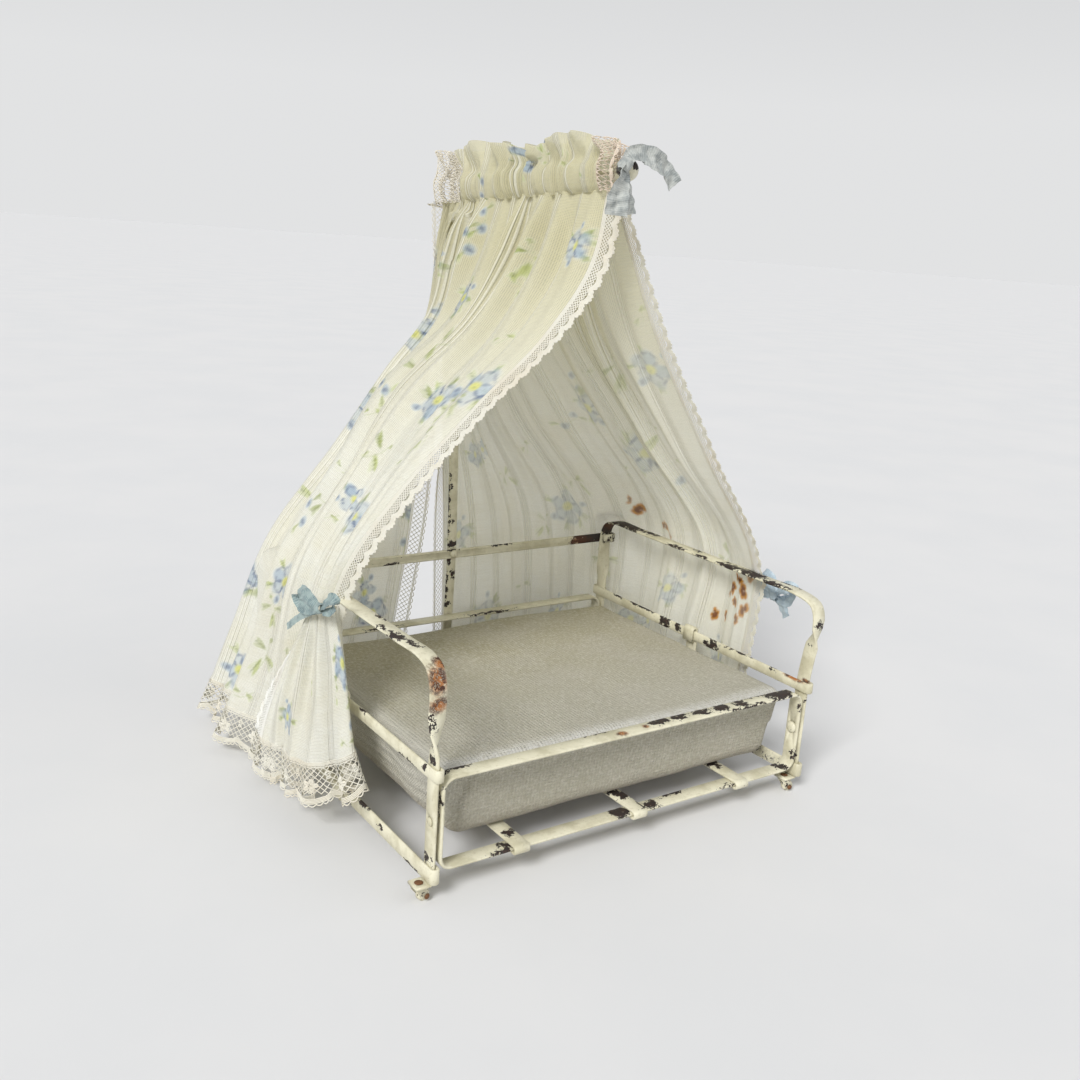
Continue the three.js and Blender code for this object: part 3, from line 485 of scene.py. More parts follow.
class Dye:
    """Colour on a sheet, RGBA by point, put on in soft touches at (u, v) on the flat cloth."""

    def __init__(self, sheet, ground):
        self.uv = np.stack([sheet.u, sheet.v], axis=-1).reshape(-1, 2)
        self.colours = np.tile((*ground, 0.0), (sheet.u.size, 1))

    def dab(self, u, v, ru, rv, angle, colour, strength=1.0, soft=0.35):
        """One soft-edged touch, an ellipse of half sizes ru and rv."""
        near = np.abs(self.uv[:, 0] - u) + np.abs(self.uv[:, 1] - v) < 1.6 * (ru + rv) + 0.5
        if not near.any():
            return
        du, dv = self.uv[near, 0] - u, self.uv[near, 1] - v
        ca, sa = math.cos(angle), math.sin(angle)
        away = np.hypot((du * ca + dv * sa) / ru, (-du * sa + dv * ca) / rv)
        cover = (strength * (1 - smooth(away, 1 - soft, 1 + soft)))[:, None]
        self.colours[near, :3] = self.colours[near, :3] * (1 - cover) + np.array(colour) * cover
        self.colours[near, 3:] = np.maximum(self.colours[near, 3:], cover)

    def spray(self, u, v, kind, angle, size, random):
        """A printed spray: blue petals round a yellow eye, buds, leaves on thin stalks."""
        dab = self.dab
        size = size * PRINT_SCALE

        def at(along, aside):
            c, s = math.cos(angle), math.sin(angle)
            return u + size * (along * c - aside * s), v + size * (along * s + aside * c)

        def stalk(a0, s0, a1, s1):
            for t in np.linspace(0, 1, 9):
                cu, cv = at(a0 + (a1 - a0) * t, s0 + (s1 - s0) * t + 0.5 * math.sin(t * 3.1))
                dab(cu, cv, 0.5 * size, 0.16 * size, angle, LEAF, 0.55)

        def leaf(along, aside, turn, long, colour):
            cu, cv = at(along, aside)
            for side in (-1, 1):
                a = angle + turn + side * 0.28
                off = side * size * long * 0.16
                dab(cu - off * math.sin(a), cv + off * math.cos(a), size * long * 0.85, size * long * 0.24, a,
                    colour, random.uniform(0.55, 0.95))
            dab(cu, cv, size * long * 0.95, size * 0.13, angle + turn, DARK_LEAF, 0.75)

        def bloom(along, aside, radius, petals):
            cu, cv = at(along, aside)
            r = size * radius
            start = random.uniform(0, 6.3)

            def out(a, reach):
                return cu + reach * math.cos(a), cv + reach * math.sin(a)

            for k in range(petals):
                a = start + k * TURN / petals + random.uniform(-0.15, 0.15)
                colour = np.array(BLUE) + (np.array(PALE_BLUE) - np.array(BLUE)) * random.uniform(0.1, 0.9)
                dab(*out(a, r), r * 0.85, r * 0.68, a, colour, random.uniform(0.6, 0.9))
                for side in (-1, 1):
                    b = a + side * random.uniform(0.25, 0.45)
                    tip = out(b, r * random.uniform(1.25, 1.5))
                    dab(*tip, r * 0.42, r * 0.13, a + math.pi / 2 + side * 0.5, DARK_BLUE,
                        random.uniform(0.35, 0.9))
            for k in range(petals):
                a = start + (k + random.uniform(0.3, 0.7)) * TURN / petals
                dab(*out(a, r * 0.8), r * 0.5, r * 0.13, a, DARK_BLUE, random.uniform(0.4, 0.95))
            dab(cu, cv, r * 0.52, r * 0.42, angle, YELLOW, 0.95)
            dab(cu, cv + 0.25 * size, size * 0.35, size * 0.2, angle, LEAF, 0.5)

        def bud(along, aside, radius):
            cu, cv = at(along, aside)
            dab(cu, cv, size * radius, size * radius * 0.75, angle, BLUE, 0.75)
            dab(cu, cv, size * radius * 0.5, size * radius * 0.3, angle + 0.8, DARK_BLUE, 0.8)

        def dot(along, aside):
            dab(*at(along, aside), 0.5 * size, 0.5 * size, 0, LEAF, 0.8)

        draw = {"stalk": stalk, "leaf": leaf, "bloom": bloom, "bud": bud, "dot": dot}
        for part, *values in SPRAYS[kind]:
            draw[part](*values)


def painted(sheet, sprays, seed):
    """The print: each spray is (u, v, kind, angle in degrees, size)."""
    random = np.random.default_rng(seed)
    dye = Dye(sheet, CREAM)
    for u, v, kind, angle, size in sprays:
        dye.spray(u, v, kind, math.radians(angle), size, random)
    return dye.colours


def stained(sheet, spots):
    """Rust marks, orange with a dark middle: each spot is (u, v, half width, half height, strength)."""
    dye = Dye(sheet, ORANGE_STAIN)
    for u, v, ru, rv, strength in spots:
        for colour, reach in ((ORANGE_STAIN, 1.0), (STAIN, 0.62)):
            for k in range(5):
                along, aside = 0.8 * reach * math.sin(2.4 * k + u), 0.8 * reach * math.cos(2.4 * k + v)
                dye.dab(u + ru * along, v + rv * aside, ru * 0.7 * reach, rv * 0.6 * reach, k + u, colour,
                        strength)
    return dye.colours


# ---- cloth: printed corded voile, thread --------------------------------------------------------------------

def voile(name, wrong_side=False):
    """Thin cream cotton, partly see-through, with groups of cords along the drop and the mesh's print."""
    g = Graph(name)
    cloth = g.attribute("cloth")
    u, v, _ = g.split(cloth)
    # groups of three cords, a millimetre apart, every 12.5 mm
    in_group = g.ramp(g.math("PINGPONG", g.plus(u, 3.0), 6.25), 1.75, 1.45)
    cords = g.times(g.ramp(g.math("ABSOLUTE", g.wave(u, 2.0)), 0.55, 0.95), in_group)
    flat_noise = g.noise(cloth, 1.6, 4, 0.7)
    slub = g.noise(g.vector("MULTIPLY", cloth, (0.08, 2.4, 1)), 1.0, 3, 0.6)
    weave = g.times(g.plus(g.wave(u, 0.42), g.wave(v, 0.42)), g.plus(flat_noise, 0.2))
    height = g.plus(g.plus(g.times(weave, 0.16), g.times(cords, 1.6)), g.times(slub, 0.7))
    normal = g.bump(height, 0.8, 0.00025)
    print_colour, print_cover = [g.attribute("print", part) for part in ("Color", "Alpha")]
    stain_colour, stain_cover = [g.attribute("stain", part) for part in ("Color", "Alpha")]
    cover = g.times(print_cover, 0.62 if wrong_side else 1.0)
    age = g.noise(cloth, 0.035, 4, 0.6)
    base = g.mix(g.ramp(age, 0.35, 0.7, 0.0, 0.5), CREAM, (0.80, 0.755, 0.59))
    # painted shade: darker and yellower towards the top, under the casing, with a ragged edge
    base = g.mix(g.ramp(g.plus(v, g.times(age, 50.0)), 20.0, 140.0, 1.0, 0.0), base, YELLOW_SHADE)
    base = g.mix(g.times(cords, 0.7), base, (0.94, 0.93, 0.84))
    thin = g.ramp(g.plus(slub, g.times(flat_noise, 0.5)), 0.55, 1.0, 0.0, 0.35)
    base = g.mix(thin, base, (0.70, 0.67, 0.53))
    printed = g.mix(cover, base, print_colour)
    front = g.principled(Base_Color=g.mix(stain_cover, printed, stain_colour), Roughness=0.92, Normal=normal,
                         Specular_IOR_Level=0.15, Sheen_Weight=0.12, Sheen_Roughness=0.6)
    lit_colour = g.mix(0.5 if wrong_side else 0.35, printed, (0.88, 0.81, 0.48))
    body = g.shine_through(0.26, front, g.mix(stain_cover, lit_colour, stain_colour), normal)
    covered = g.larger(g.larger(g.times(cover, 0.8), g.times(cords, 0.9)), stain_cover)
    holes = g.plus(g.ramp(weave, 0.25, 1.3, 0.0, 0.4), 0.05)
    return g.finish(g.node("MixShader", i0=g.times(holes, g.minus(1.0, covered)), i1=body,
                           i2=g.node("BsdfTransparent")))


def cotton_thread(name, colour=(0.89, 0.865, 0.765), lit=0.3):
    g = Graph(name)
    where = g.bed()
    fuzz = g.noise(where, 3.5, 3, 0.6)
    age = g.noise(where, 0.09, 3, 0.6)
    shade = g.mix(g.ramp(age, 0.4, 0.75, 0.0, 0.6), colour, (0.84, 0.76, 0.60))
    shade = g.mix(g.ramp(fuzz, 0.35, 0.7, 0.0, 0.4), shade, (0.95, 0.94, 0.88))
    normal = g.bump(fuzz, 0.4, 0.00015)
    front = g.principled(Base_Color=shade, Roughness=0.95, Normal=normal, Specular_IOR_Level=0.1)
    return g.finish(g.shine_through(lit, front, shade, normal))


# ---- hung sheets --------------------------------------------------------------------------------------------

class Sheet:
    """A grid of points (down, across), with each point's place (u, v) on the flat cloth and its flat size."""

    below = 0.0  # how far under the casing the sheet begins, for the painted shade towards the top

    def __init__(self, points, u, v, width, drop):
        self.points, self.u, self.v = points, u, v
        self.width, self.drop = width, drop

    def edge(self, side, inset=5):
        """(points, outward directions, normals) along one edge: front, rear or hem."""
        p, normal = self.points, surface_normals(self.points)
        line, inner, up = {
            "front": (p[:, 0], p[:, inset], normal[:, 0]),
            "rear": (p[:, -1], p[:, -1 - inset], normal[:, -1]),
            "hem": (p[-1], p[-1 - inset], normal[-1]),
        }[side]
        outward = square_to(unit(line - inner), unit(np.gradient(line, axis=0)))
        for _ in range(6):
            outward[1:-1] = (outward[:-2] + 2 * outward[1:-1] + outward[2:]) / 4
        return line, unit(outward), up


def rod_z(y):
    share = (np.asarray(y, float) - ROD_FRONT[1]) / (ROD_REAR[1] - ROD_FRONT[1])
    return ROD_FRONT[2] + (ROD_REAR[2] - ROD_FRONT[2]) * share


def drape_folds(u, v, drop, seed, tie_u, tie_v):
    """Folds by place on the flat cloth: gathers under the casing, long pleats below, waves towards the hem."""
    gather = np.sin(u * 1.05 + 1.8 * wander(u, seed, 6) + 0.4)
    phase = u * 0.40 + 2.3 * wander(u, seed + 1, 12) + 0.35 * wander(v, seed + 3, 30)
    pleat = np.sin(phase + 0.55 * np.sin(phase)) + 0.3 * np.sin(2 * phase + 0.6)
    pleat = pleat * (0.85 + 0.7 * wander(u, seed + 5, 15))
    soft = np.sin(u * 0.66 + 2.6 * wander(u + 0.25 * v, seed + 6, 18))
    wave = np.sin(u * 0.19 + 1.5 * wander(u, seed + 2, 24) + 0.005 * v)
    tuck = np.sin(u * 0.8 + 0.02 * (v - tie_v)) + 0.5 * np.sin(u * 1.5 + 1)
    calm_edge = 0.3 + 0.7 * smooth(u, 0, 15)
    return calm_edge * (gather * np.exp(-v / 13)
                        + 3.5 * pleat * smooth(v, -5, 14) * (0.2 + 0.8 * np.exp(-np.maximum(v - 22, 0) / 30))
                        + 0.55 * soft * smooth(v, 10, 40)
                        + wave * (2.0 * smooth(v, 22, 75) + smooth(v, drop * 0.68, drop))
                        + 1.5 * tuck * hump(u, tie_u, 18) * hump(v, tie_v, 26))


def clear_of_bed(points):
    """Moves cloth out of the bed's own space, taken as a block with rounded sides, and off the pole."""
    x, y, z = points[..., 0].copy(), points[..., 1].copy(), points[..., 2].copy()
    reach = ARM_CLEAR + CORNER_CLEAR * smooth(y, 90, 104)
    top = RAIL_TOP + (ARM_TOP - RAIL_TOP) * smooth(np.abs(x), 58, 66)
    past = (np.abs(x) - reach, y - REAR_CLEAR, z - top)
    a, b, c = [np.clip(distance / BLOCK_ROUNDING + 1, 0, None) for distance in past]
    size = (a ** 6 + b ** 6 + c ** 6) ** (1 / 6)
    inside = (size < 1) & (size > 0.3) & (np.abs(x) > 20)
    grow = np.where(inside, 1 / np.maximum(size, 0.3) - 1, 0) * BLOCK_ROUNDING
    x, y, z = x + np.sign(x) * a * grow, y + b * grow, z + c * grow
    behind = (np.abs(x) <= 58) & (y > 90) & (y < REAR_CLEAR) & (z < RAIL_TOP)
    y[behind] = REAR_CLEAR
    near_pole = (x > POLE_LEFT) & (x < POLE_RIGHT) & (y > POLE_FRONT) & (y < POLE_REAR) & (z < POLE_TOP)
    to_left, to_right, to_rear = x - POLE_LEFT, POLE_RIGHT - x, POLE_REAR - y
    least = np.minimum(np.minimum(to_left, to_right), to_rear)
    x[near_pole & (least == to_left)] = POLE_LEFT
    x[near_pole & (least == to_right)] = POLE_RIGHT
    y[near_pole & (least == to_rear)] = POLE_REAR
    return np.stack([x, y, z], axis=-1)


def hang(threads, seed, fullness, tie=(-99, -99), amount=1.0, from_rod=True):
    """A sheet on a net of threads, less what its laces take: the net runs to the laces' outer edges."""
    net = np.array(threads, float)
    if from_rod:
        net[:, 0, 2] = rod_z(net[:, 0, 1]) - CASING_DROP
    down = np.mean([lengths(thread) for thread in net], axis=0)
    across = lengths(net[:, -1]) * 0.75 + lengths(net[:, -2]) * 0.25
    rear = across[-1] - (REAR_DEEP if from_rod else 0)
    drop, width = down[-1] - HEM_DEEP, (rear - EDGE_DEEP) * fullness
    rows, columns = int(drop / CLOTH_STEP) + 1, int(width / CLOTH_STEP) + 1
    points = through(down, net.transpose(1, 0, 2), np.linspace(0, drop, rows)).transpose(1, 0, 2)
    points = through(across, points, np.linspace(EDGE_DEEP, rear, columns)).transpose(1, 0, 2)
    v, u = np.meshgrid(np.linspace(0, drop, rows), np.linspace(0, width, columns), indexing="ij")
    offset = drape_folds(u, v, drop, seed, *tie) * amount
    points = points + surface_normals(points) * offset[..., None]
    for _ in range(SETTLING):
        points = clear_of_bed(points)
        around = (points[:-2, 1:-1] + points[2:, 1:-1] + points[1:-1, :-2] + points[1:-1, 2:]) / 4
        points[1:-1, 1:-1] = points[1:-1, 1:-1] * 0.6 + around * 0.4
    return Sheet(clear_of_bed(points), u, v, width, drop)


def hung(name, sheet, material, print_dye, stain_dye, replaces):
    uv = np.stack([sheet.u, sheet.v + sheet.below], axis=-1).reshape(-1, 2)
    piece = new_mesh(name, sheet.points.reshape(-1, 3), grid_faces(*sheet.u.shape), material, slot="voile",
                     cloth=uv, print=print_dye, stain=stain_dye)
    if replaces:
        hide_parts(*replaces)


# ---- lace ---------------------------------------------------------------------------------------------------
# Lace is drawn flat as threads in (s, t), s along the cloth's edge and t out from it, then set along the edge.

def zigzag(long, period, low, high):
    s = np.arange(0, long + period / 2, period / 2)
    t = np.where(np.arange(len(s)) % 2 == 0, low, high)
    return np.stack([np.clip(s, 0, long), t], axis=1)


def straight(long, t, step=2.0):
    s = np.linspace(0, long, max(3, int(long / step)))
    return np.stack([s, np.full_like(s, t)], axis=1)


def scallops(long, pitch, base, high, step=0.55):
    s = np.arange(0, long, step)
    return np.stack([s, base + high * np.abs(np.sin(np.pi * s / pitch))], axis=1)


def net(long, low, high, cell):
    """Diamond net in rows of zigzags that meet point to point."""
    rows = max(1, round((high - low) / (cell / 2)))
    tall = (high - low) / rows
    return [zigzag(long, cell, low + tall * (k + k % 2), low + tall * (k + 1 - k % 2)) for k in range(rows)]


def ring(s, t, radius, turn=0.0, long=1.0, count=9):
    a = np.linspace(0, TURN, count)
    x, y = radius * np.cos(a), radius * long * np.sin(a)
    c, d = math.cos(turn), math.sin(turn)
    return np.stack([s + x * c - y * d, t + x * d + y * c], axis=1)


def fine(line):
    """Adds a point in the middle of each stretch, so a thread follows a gathered surface."""
    out = np.empty((2 * len(line) - 1, 2))
    out[0::2], out[1::2] = line, (line[1:] + line[:-1]) / 2
    return out


def narrow_lace(long):
    """Footing, a fine close net and a scalloped edge with picots, 5.2 mm deep."""
    lines = [straight(long, t) for t in (0.1, 0.5, 0.9)] + [zigzag(long, 0.9, 0.1, 0.9)]
    lines += net(long, 0.9, 3.3, 1.0)
    lines += [scallops(long, 4.6, 3.0 + k * 0.36, 1.0) for k in range(4)]
    picots = scallops(long, 4.6, 4.35, 1.0, 0.3)
    picots[:, 1] += 0.3 * np.sin(picots[:, 0] * TURN / 1.15)
    return lines + [picots]


def mesh_lace(long):
    """Open diamond mesh between two worked edges, 7 mm deep."""
    lines = [straight(long, 0.1), straight(long, 0.7), zigzag(long, 1.1, 0.1, 0.7)]
    lines += net(long, 0.7, 5.4, 1.75)
    return lines + [straight(long, 5.4), straight(long, 5.8), scallops(long, 2.4, 5.8, 0.8, 0.4)]


def hem_lace(long, pitch=11.0):
    """Wide border: footing, diamond net with small worked flowers, a scalloped edge with picots, 13 mm deep."""
    lines = [straight(long, t) for t in (0.1, 0.5, 0.9, 1.5)] + [zigzag(long, 1.0, 0.5, 1.5)]
    lines += net(long, 1.5, 9.6, 2.0)
    lines += [scallops(long, pitch, 9.2 + 0.42 * k, 2.0) for k in range(4)]
    picots = scallops(long, pitch, 10.8, 2.0, 0.3)
    picots[:, 1] += 0.6 * np.abs(np.sin(picots[:, 0] * np.pi / 1.5))
    lines.append(picots)
    for centre in np.arange(pitch / 2, long, pitch):
        for a in TURN / 5 * np.arange(5):
            lines += [ring(centre + 1.25 * math.cos(a), 7.0 + 1.25 * math.sin(a), radius, a, 0.7)
                      for radius in (0.3, 0.58, 0.82)]
        lines += [ring(centre + pitch / 2, 3.4 + 1.4 * k, 0.6, 0, 0.6) for k in range(2)]
    return lines


def end_lace(long, wide):
    """Lace across the end of a frill: two straight threads, a net and a scalloped edge."""
    lines = [straight(long, 0.2, 0.5), straight(long, 0.8, 0.5)]
    lines += [fine(line) for line in net(long, 0.8, wide - 2.2, 1.7)]
    return lines + [scallops(long, 4.2, wide - 2.6 + 0.42 * k, 1.2) for k in range(4)]


def along_edge(edge):
    """Lays flat lace out from an edge: (points, outward directions, normals)."""
    along = lengths(edge[0])
    columns = np.concatenate(edge, axis=1)

    def lay(line):
        line = line[(line[:, 0] >= 0) & (line[:, 0] <= along[-1])]
        at = np.stack([np.interp(line[:, 0], along, column) for column in columns.T], axis=1)
        return at[:, :3] + at[:, 3:6] * line[:, 1:2], unit(at[:, 6:9])
    return lay


def over_surface(points, long, wide, outward_end):
    """Lays flat lace over a grid of points: s up its rows, t along its columns towards its outward end."""
    rows, columns = points.shape[:2]
    normals = surface_normals(points)

    def lay(line):
        r = np.clip(line[:, 0] / long, 0, 1) * (rows - 1.001)
        c = np.clip(line[:, 1] / wide, 0, 1) * (columns - 1.001)
        c = c if outward_end else columns - 1.001 - c
        i, j = r.astype(int), c.astype(int)
        a, b = (r - i)[:, None], (c - j)[:, None]

        def pick(grid):
            return ((1 - a) * ((1 - b) * grid[i, j] + b * grid[i, j + 1])
                    + a * ((1 - b) * grid[i + 1, j] + b * grid[i + 1, j + 1]))
        return pick(points), unit(pick(normals))
    return lay


def lace_piece(name, lines, lay, material, wide=0.42, thick=0.2):
    """Gives each flat thread its place and a body of four sides."""
    points, faces = [], []
    count = 0
    for line in lines:
        centre, up = lay(line)
        if len(centre) < 2:
            continue
        side = unit(np.cross(np.gradient(centre, axis=0), up))
        corners = np.stack([centre + side * wide / 2, centre + up * thick / 2,
                            centre - side * wide / 2, centre - up * thick / 2], axis=1)
        points.append(corners.reshape(-1, 3))
        faces += grid_faces(len(centre), 4, count, wrap=True)
        count += 4 * len(centre)
    return new_mesh(name, np.concatenate(points), faces, material, slot="lace")


def trim(name, edge, pattern, material, **options):
    return lace_piece(name, pattern(lengths(edge[0])[-1]), along_edge(edge), material, **options)


# ---- the two drapes -----------------------------------------------------------------------------------------

# Each thread hangs from the rod or the tie to the outer edge of the hem lace. The first is the front one.
LEFT_THREADS = [
    [(-2.4, 25.0, 190), (-6.3, 26.2, 168), (-16.5, 31, 148), (-34.2, 39.1, 126), (-53.5, 48.4, 100.5),
     (-70.5, 56, 71.5), (-77.5, 53, 36), (-78, 49, 6)],
    [(-3.2, 44, 189), (-8, 46, 168), (-18, 50, 148), (-36, 56, 126), (-57, 60, 100), (-73.5, 62, 71.5),
     (-79, 62, 36), (-81, 62, 4)],
    [(-3.4, 64, 188), (-9, 68, 168), (-19, 73, 148), (-37, 80, 126), (-55, 81, 100), (-74.5, 78, 72),
     (-80, 80, 36), (-84, 84, 3)],
    [(-3.4, 86, 187), (-8, 90, 168), (-15, 95, 148), (-35, 101, 126), (-51, 103, 100), (-73.5, 96, 71),
     (-79, 104, 36), (-88, 111, 3)],
    [(-3.2, 108, 186), (-6, 113, 168), (-9, 117, 148), (-23, 122.5, 126), (-42, 123, 100), (-66, 121, 71),
     (-76, 128, 36), (-84.5, 135, 3)],
    [(-3, 128.5, 185), (-1, 128.5, 168), (-2, 131, 148), (-4, 128, 126), (-6, 125, 100), (-8, 122.5, 71),
     (-13, 120.5, 36), (-17, 121, 3)],
]
RIGHT_THREADS = [
    [(0.2, 26.5, 190), (19.7, 24.8, 151), (44.3, 24.3, 112), (70, 24, 68), (75.5, 30, 35), (76, 34, 3)],
    [(0.6, 44, 188), (18, 44, 151), (44, 42, 112), (74.5, 38, 68), (78, 42, 35), (79, 46, 2)],
    [(0.6, 66, 188), (15, 67, 151), (45, 66, 112), (76, 62, 68), (79, 70, 35), (82, 76, 2)],
    [(0.6, 90, 188), (13, 92, 151), (42, 93, 112), (77, 97, 68), (80, 101, 35), (83, 109, 2)],
    [(0.6, 111, 188), (8, 115, 151), (32, 118, 112), (66, 121, 68), (70, 122, 35), (73, 127, 2)],
    [(0, 128.5, 185), (-0.5, 129, 151), (-3, 125, 112), (-5, 121, 68), (-5, 119.5, 35), (-4, 121, 2)],
]
TAIL_THREADS = [
    [(-81.0, 57.5, 66.5), (-85.8, 63, 50), (-89.2, 72, 30), (-90.8, 81, 8)],
    [(-81.2, 56, 66.5), (-86, 58, 50), (-88.8, 62, 32), (-90.2, 66, 7)],
    [(-80.8, 53, 66.5), (-83, 51, 50), (-85, 51, 32), (-86.5, 52, 7.5)],
    [(-79.5, 51, 67), (-81, 45, 52), (-82, 42, 34), (-82.5, 40, 11)],
    [(-75.8, 51, 69), (-76, 42.5, 55), (-75.5, 38.5, 37), (-75, 33, 20)],
    [(-74.6, 52, 67), (-74, 50, 52), (-74, 50, 35), (-74, 49, 18)],
]

# The print: (u, v, kind, angle in degrees, size), u back from the cloth's front edge, v down from the casing.
LEFT_SPRAYS = [
    (81, 8, "buds", 80, 1.1), (83, 16, "buds", 95, 1.2), (71, 35, "bloom", 20, 1.15),
    (29, 19, "leaves", 110, 1.1), (29, 28, "twig", 150, 1.0), (5, 15, "bloom", 70, 0.8),
    (15, 45, "twig", 60, 1.0), (50, 53, "leaves", 30, 1.3), (60, 64, "leaves", 100, 1.5),
    (68, 73, "buds", 150, 1.4), (64, 81, "twig", 40, 1.3), (6, 64, "bloom", 10, 1.35),
    (21, 70, "bloom", 200, 1.25), (9, 72, "leaves", 70, 1.1), (9, 83, "twig", 120, 1.2),
    (31, 93, "leaves", 50, 1.3), (62, 103, "twig", 10, 1.1), (12, 90, "twig", 80, 0.9),
    (22, 111, "pair", 170, 1.15), (60, 116, "leaves", 160, 1.1), (32, 117, "twig", 30, 1.0),
    (66, 121, "buds", 90, 1.1), (60, 143, "bloom", 60, 1.2), (63, 154, "leaves", 120, 1.1),
    (62, 171, "leaves", 80, 1.4), (87, 184, "bloom", 0, 1.3), (65, 186, "twig", 20, 1.3),
    (22, 158, "bloom", 90, 0.8), (29, 163, "twig", 140, 0.8), (178, 130, "bloom", 80, 1.1),
    (176, 142, "buds", 100, 1.1), (172, 100, "leaves", 60, 1.0), (104, 26, "bloom", 30, 1.0),
    (96, 50, "pair", 75, 1.1), (122, 44, "leaves", 20, 1.0), (142, 24, "bloom", 140, 0.9),
    (160, 52, "pair", 10, 1.0), (100, 86, "bloom", 100, 1.2), (130, 78, "leaves", 150, 1.1),
    (148, 96, "bloom", 60, 1.1), (92, 118, "leaves", 30, 1.0), (118, 122, "pair", 160, 1.2),
    (150, 134, "leaves", 90, 1.1), (96, 152, "pair", 20, 1.1), (130, 158, "bloom", 120, 1.2),
    (164, 168, "pair", 70, 1.1), (112, 180, "leaves", 10, 1.0), (148, 186, "buds", 40, 1.1),
]
RIGHT_SPRAYS = [
    (3, 35, "twig", 80, 1.1), (6, 54, "bloom", 30, 1.25), (34, 59, "leaves", 90, 1.2),
    (81, 68, "buds", 60, 1.1), (82, 79, "bloom", 100, 1.2), (96, 87, "buds", 20, 1.2),
    (128, 104, "twig", 60, 1.3), (56, 97, "bloom", 160, 1.6), (31, 85, "leaves", 45, 1.2),
    (27, 95, "twig", 10, 1.2), (83, 110, "twig", 90, 1.2), (37, 107, "buds", 15, 1.4),
    (110, 120, "leaves", 150, 1.2), (122, 136, "bloom", 10, 1.5), (138, 143, "leaves", 60, 1.1),
    (104, 157, "leaves", 120, 1.2), (150, 169, "twig", 30, 1.2), (177, 177, "bloom", 80, 1.3),
    (62, 159, "bloom", 40, 1.2), (42, 148, "twig", 100, 1.1), (25, 138, "leaves", 30, 1.2),
    (24, 20, "leaves", 100, 0.9), (52, 30, "bloom", 70, 1.0), (60, 60, "twig", 20, 1.0),
    (84, 36, "leaves", 140, 1.0), (108, 52, "bloom", 10, 1.1), (136, 30, "pair", 60, 1.0),
    (150, 74, "bloom", 130, 1.2), (176, 52, "leaves", 80, 1.0), (172, 106, "pair", 20, 1.1),
    (152, 120, "leaves", 160, 1.1), (192, 142, "bloom", 50, 1.1), (20, 178, "bloom", 100, 1.1),
    (84, 180, "pair", 20, 1.1), (130, 182, "bloom", 70, 1.1),
]
TAIL_SPRAYS = [
    (57, 17, "bloom", 80, 1.0), (62, 21, "buds", 100, 1.2), (60, 27, "leaves", 60, 0.9),
    (52, 25, "twig", 120, 0.9), (60, 33, "buds", 90, 1.1), (56, 40, "twig", 30, 1.0),
    (18, 34, "bloom", 40, 0.8), (30, 22, "twig", 80, 0.8),
]

# Rust marks: (u, v, half width, half height, strength)
RIGHT_STAINS = [
    (88, 131, 3.0, 2.2, 0.9), (91, 127, 1.0, 2.0, 0.7), (70, 133, 2.6, 1.3, 0.75), (66, 136, 1.4, 1.0, 0.6),
    (27, 162, 1.5, 2.2, 0.95), (20, 161, 1.2, 1.9, 0.85), (16, 148, 3.0, 1.8, 0.95), (6, 147, 2.4, 2.6, 0.95),
    (10, 143, 2.6, 1.0, 1.0), (4, 154, 2.6, 2.2, 0.85), (12, 153, 1.9, 1.4, 0.85), (2, 140, 1.3, 2.4, 0.8),
    (8, 159, 1.2, 1.8, 0.8), (20, 152, 1.2, 1.0, 0.8),
]


def build_canopy():
    lace = cotton_thread("lace_thread")
    white_lace = cotton_thread("lace_white", (0.92, 0.915, 0.86), 0.2)
    outside, inside = voile("voile"), voile("voile_wrong_side", wrong_side=True)
    left = hang(LEFT_THREADS, seed=3, fullness=DRAPE_FULLNESS, tie=(8, 118))
    right = hang(RIGHT_THREADS, seed=8, fullness=DRAPE_FULLNESS, amount=0.85)
    sides = (("left", left, LEFT_SPRAYS, outside, ()), ("right", right, RIGHT_SPRAYS, inside, RIGHT_STAINS))
    for label, sheet, sprays, material, stains in sides:
        name = f"canopy_{label}"
        trims = [
            trim(f"{name}_front_lace", sheet.edge("front"), narrow_lace, lace, wide=0.5),
            trim(f"{name}_hem_lace_border", sheet.edge("hem"), hem_lace, lace),
            trim(f"{name}_rear_lace", sheet.edge("rear"), mesh_lace, lace, wide=0.3),
        ]
        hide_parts(f"{name}_edge_lace")
        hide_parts(f"{name}_hem_lace")
        hung(f"{name}_cloth", sheet, material, painted(sheet, sprays, 5), stained(sheet, stains),
             [f"{name}_drape"])
    tail = hang(TAIL_THREADS, seed=12, fullness=TAIL_FULLNESS, amount=0.75, from_rod=False)
    tail.below = TAIL_BELOW
    trims = [
        trim("canopy_tail_edge_lace", tail.edge("front"), narrow_lace, white_lace, wide=0.55),
        trim("canopy_tail_hem_lace", tail.edge("hem"), hem_lace, lace),
    ]
    hung("canopy_left_tail", tail, outside, painted(tail, TAIL_SPRAYS, 9), stained(tail, ()),
         [])


# ---- heading ------------------------------------------------------------------------------------------------

# (out from the rod's middle, up from it) from the seam up to the ruffle's edge
HEADING_PROFILE = [
    (1.7, -5.6), (2.9, -4.0), (3.8, -1.0), (3.7, 1.8), (2.2, 4.2), (2.5, 6.8), (3.4, 9.8), (4.0, 12.4),
]
HEADING_SPRAYS = [
    (128, 19, "pair", 90, 1.1), (112, 18, "leaves", 90, 1.0), (145, 20, "buds", 60, 0.9),
    (93, 14, "twig", 90, 1.0), (172, 6, "buds", 80, 1.0), (75, 8, "twig", 70, 0.8),
]


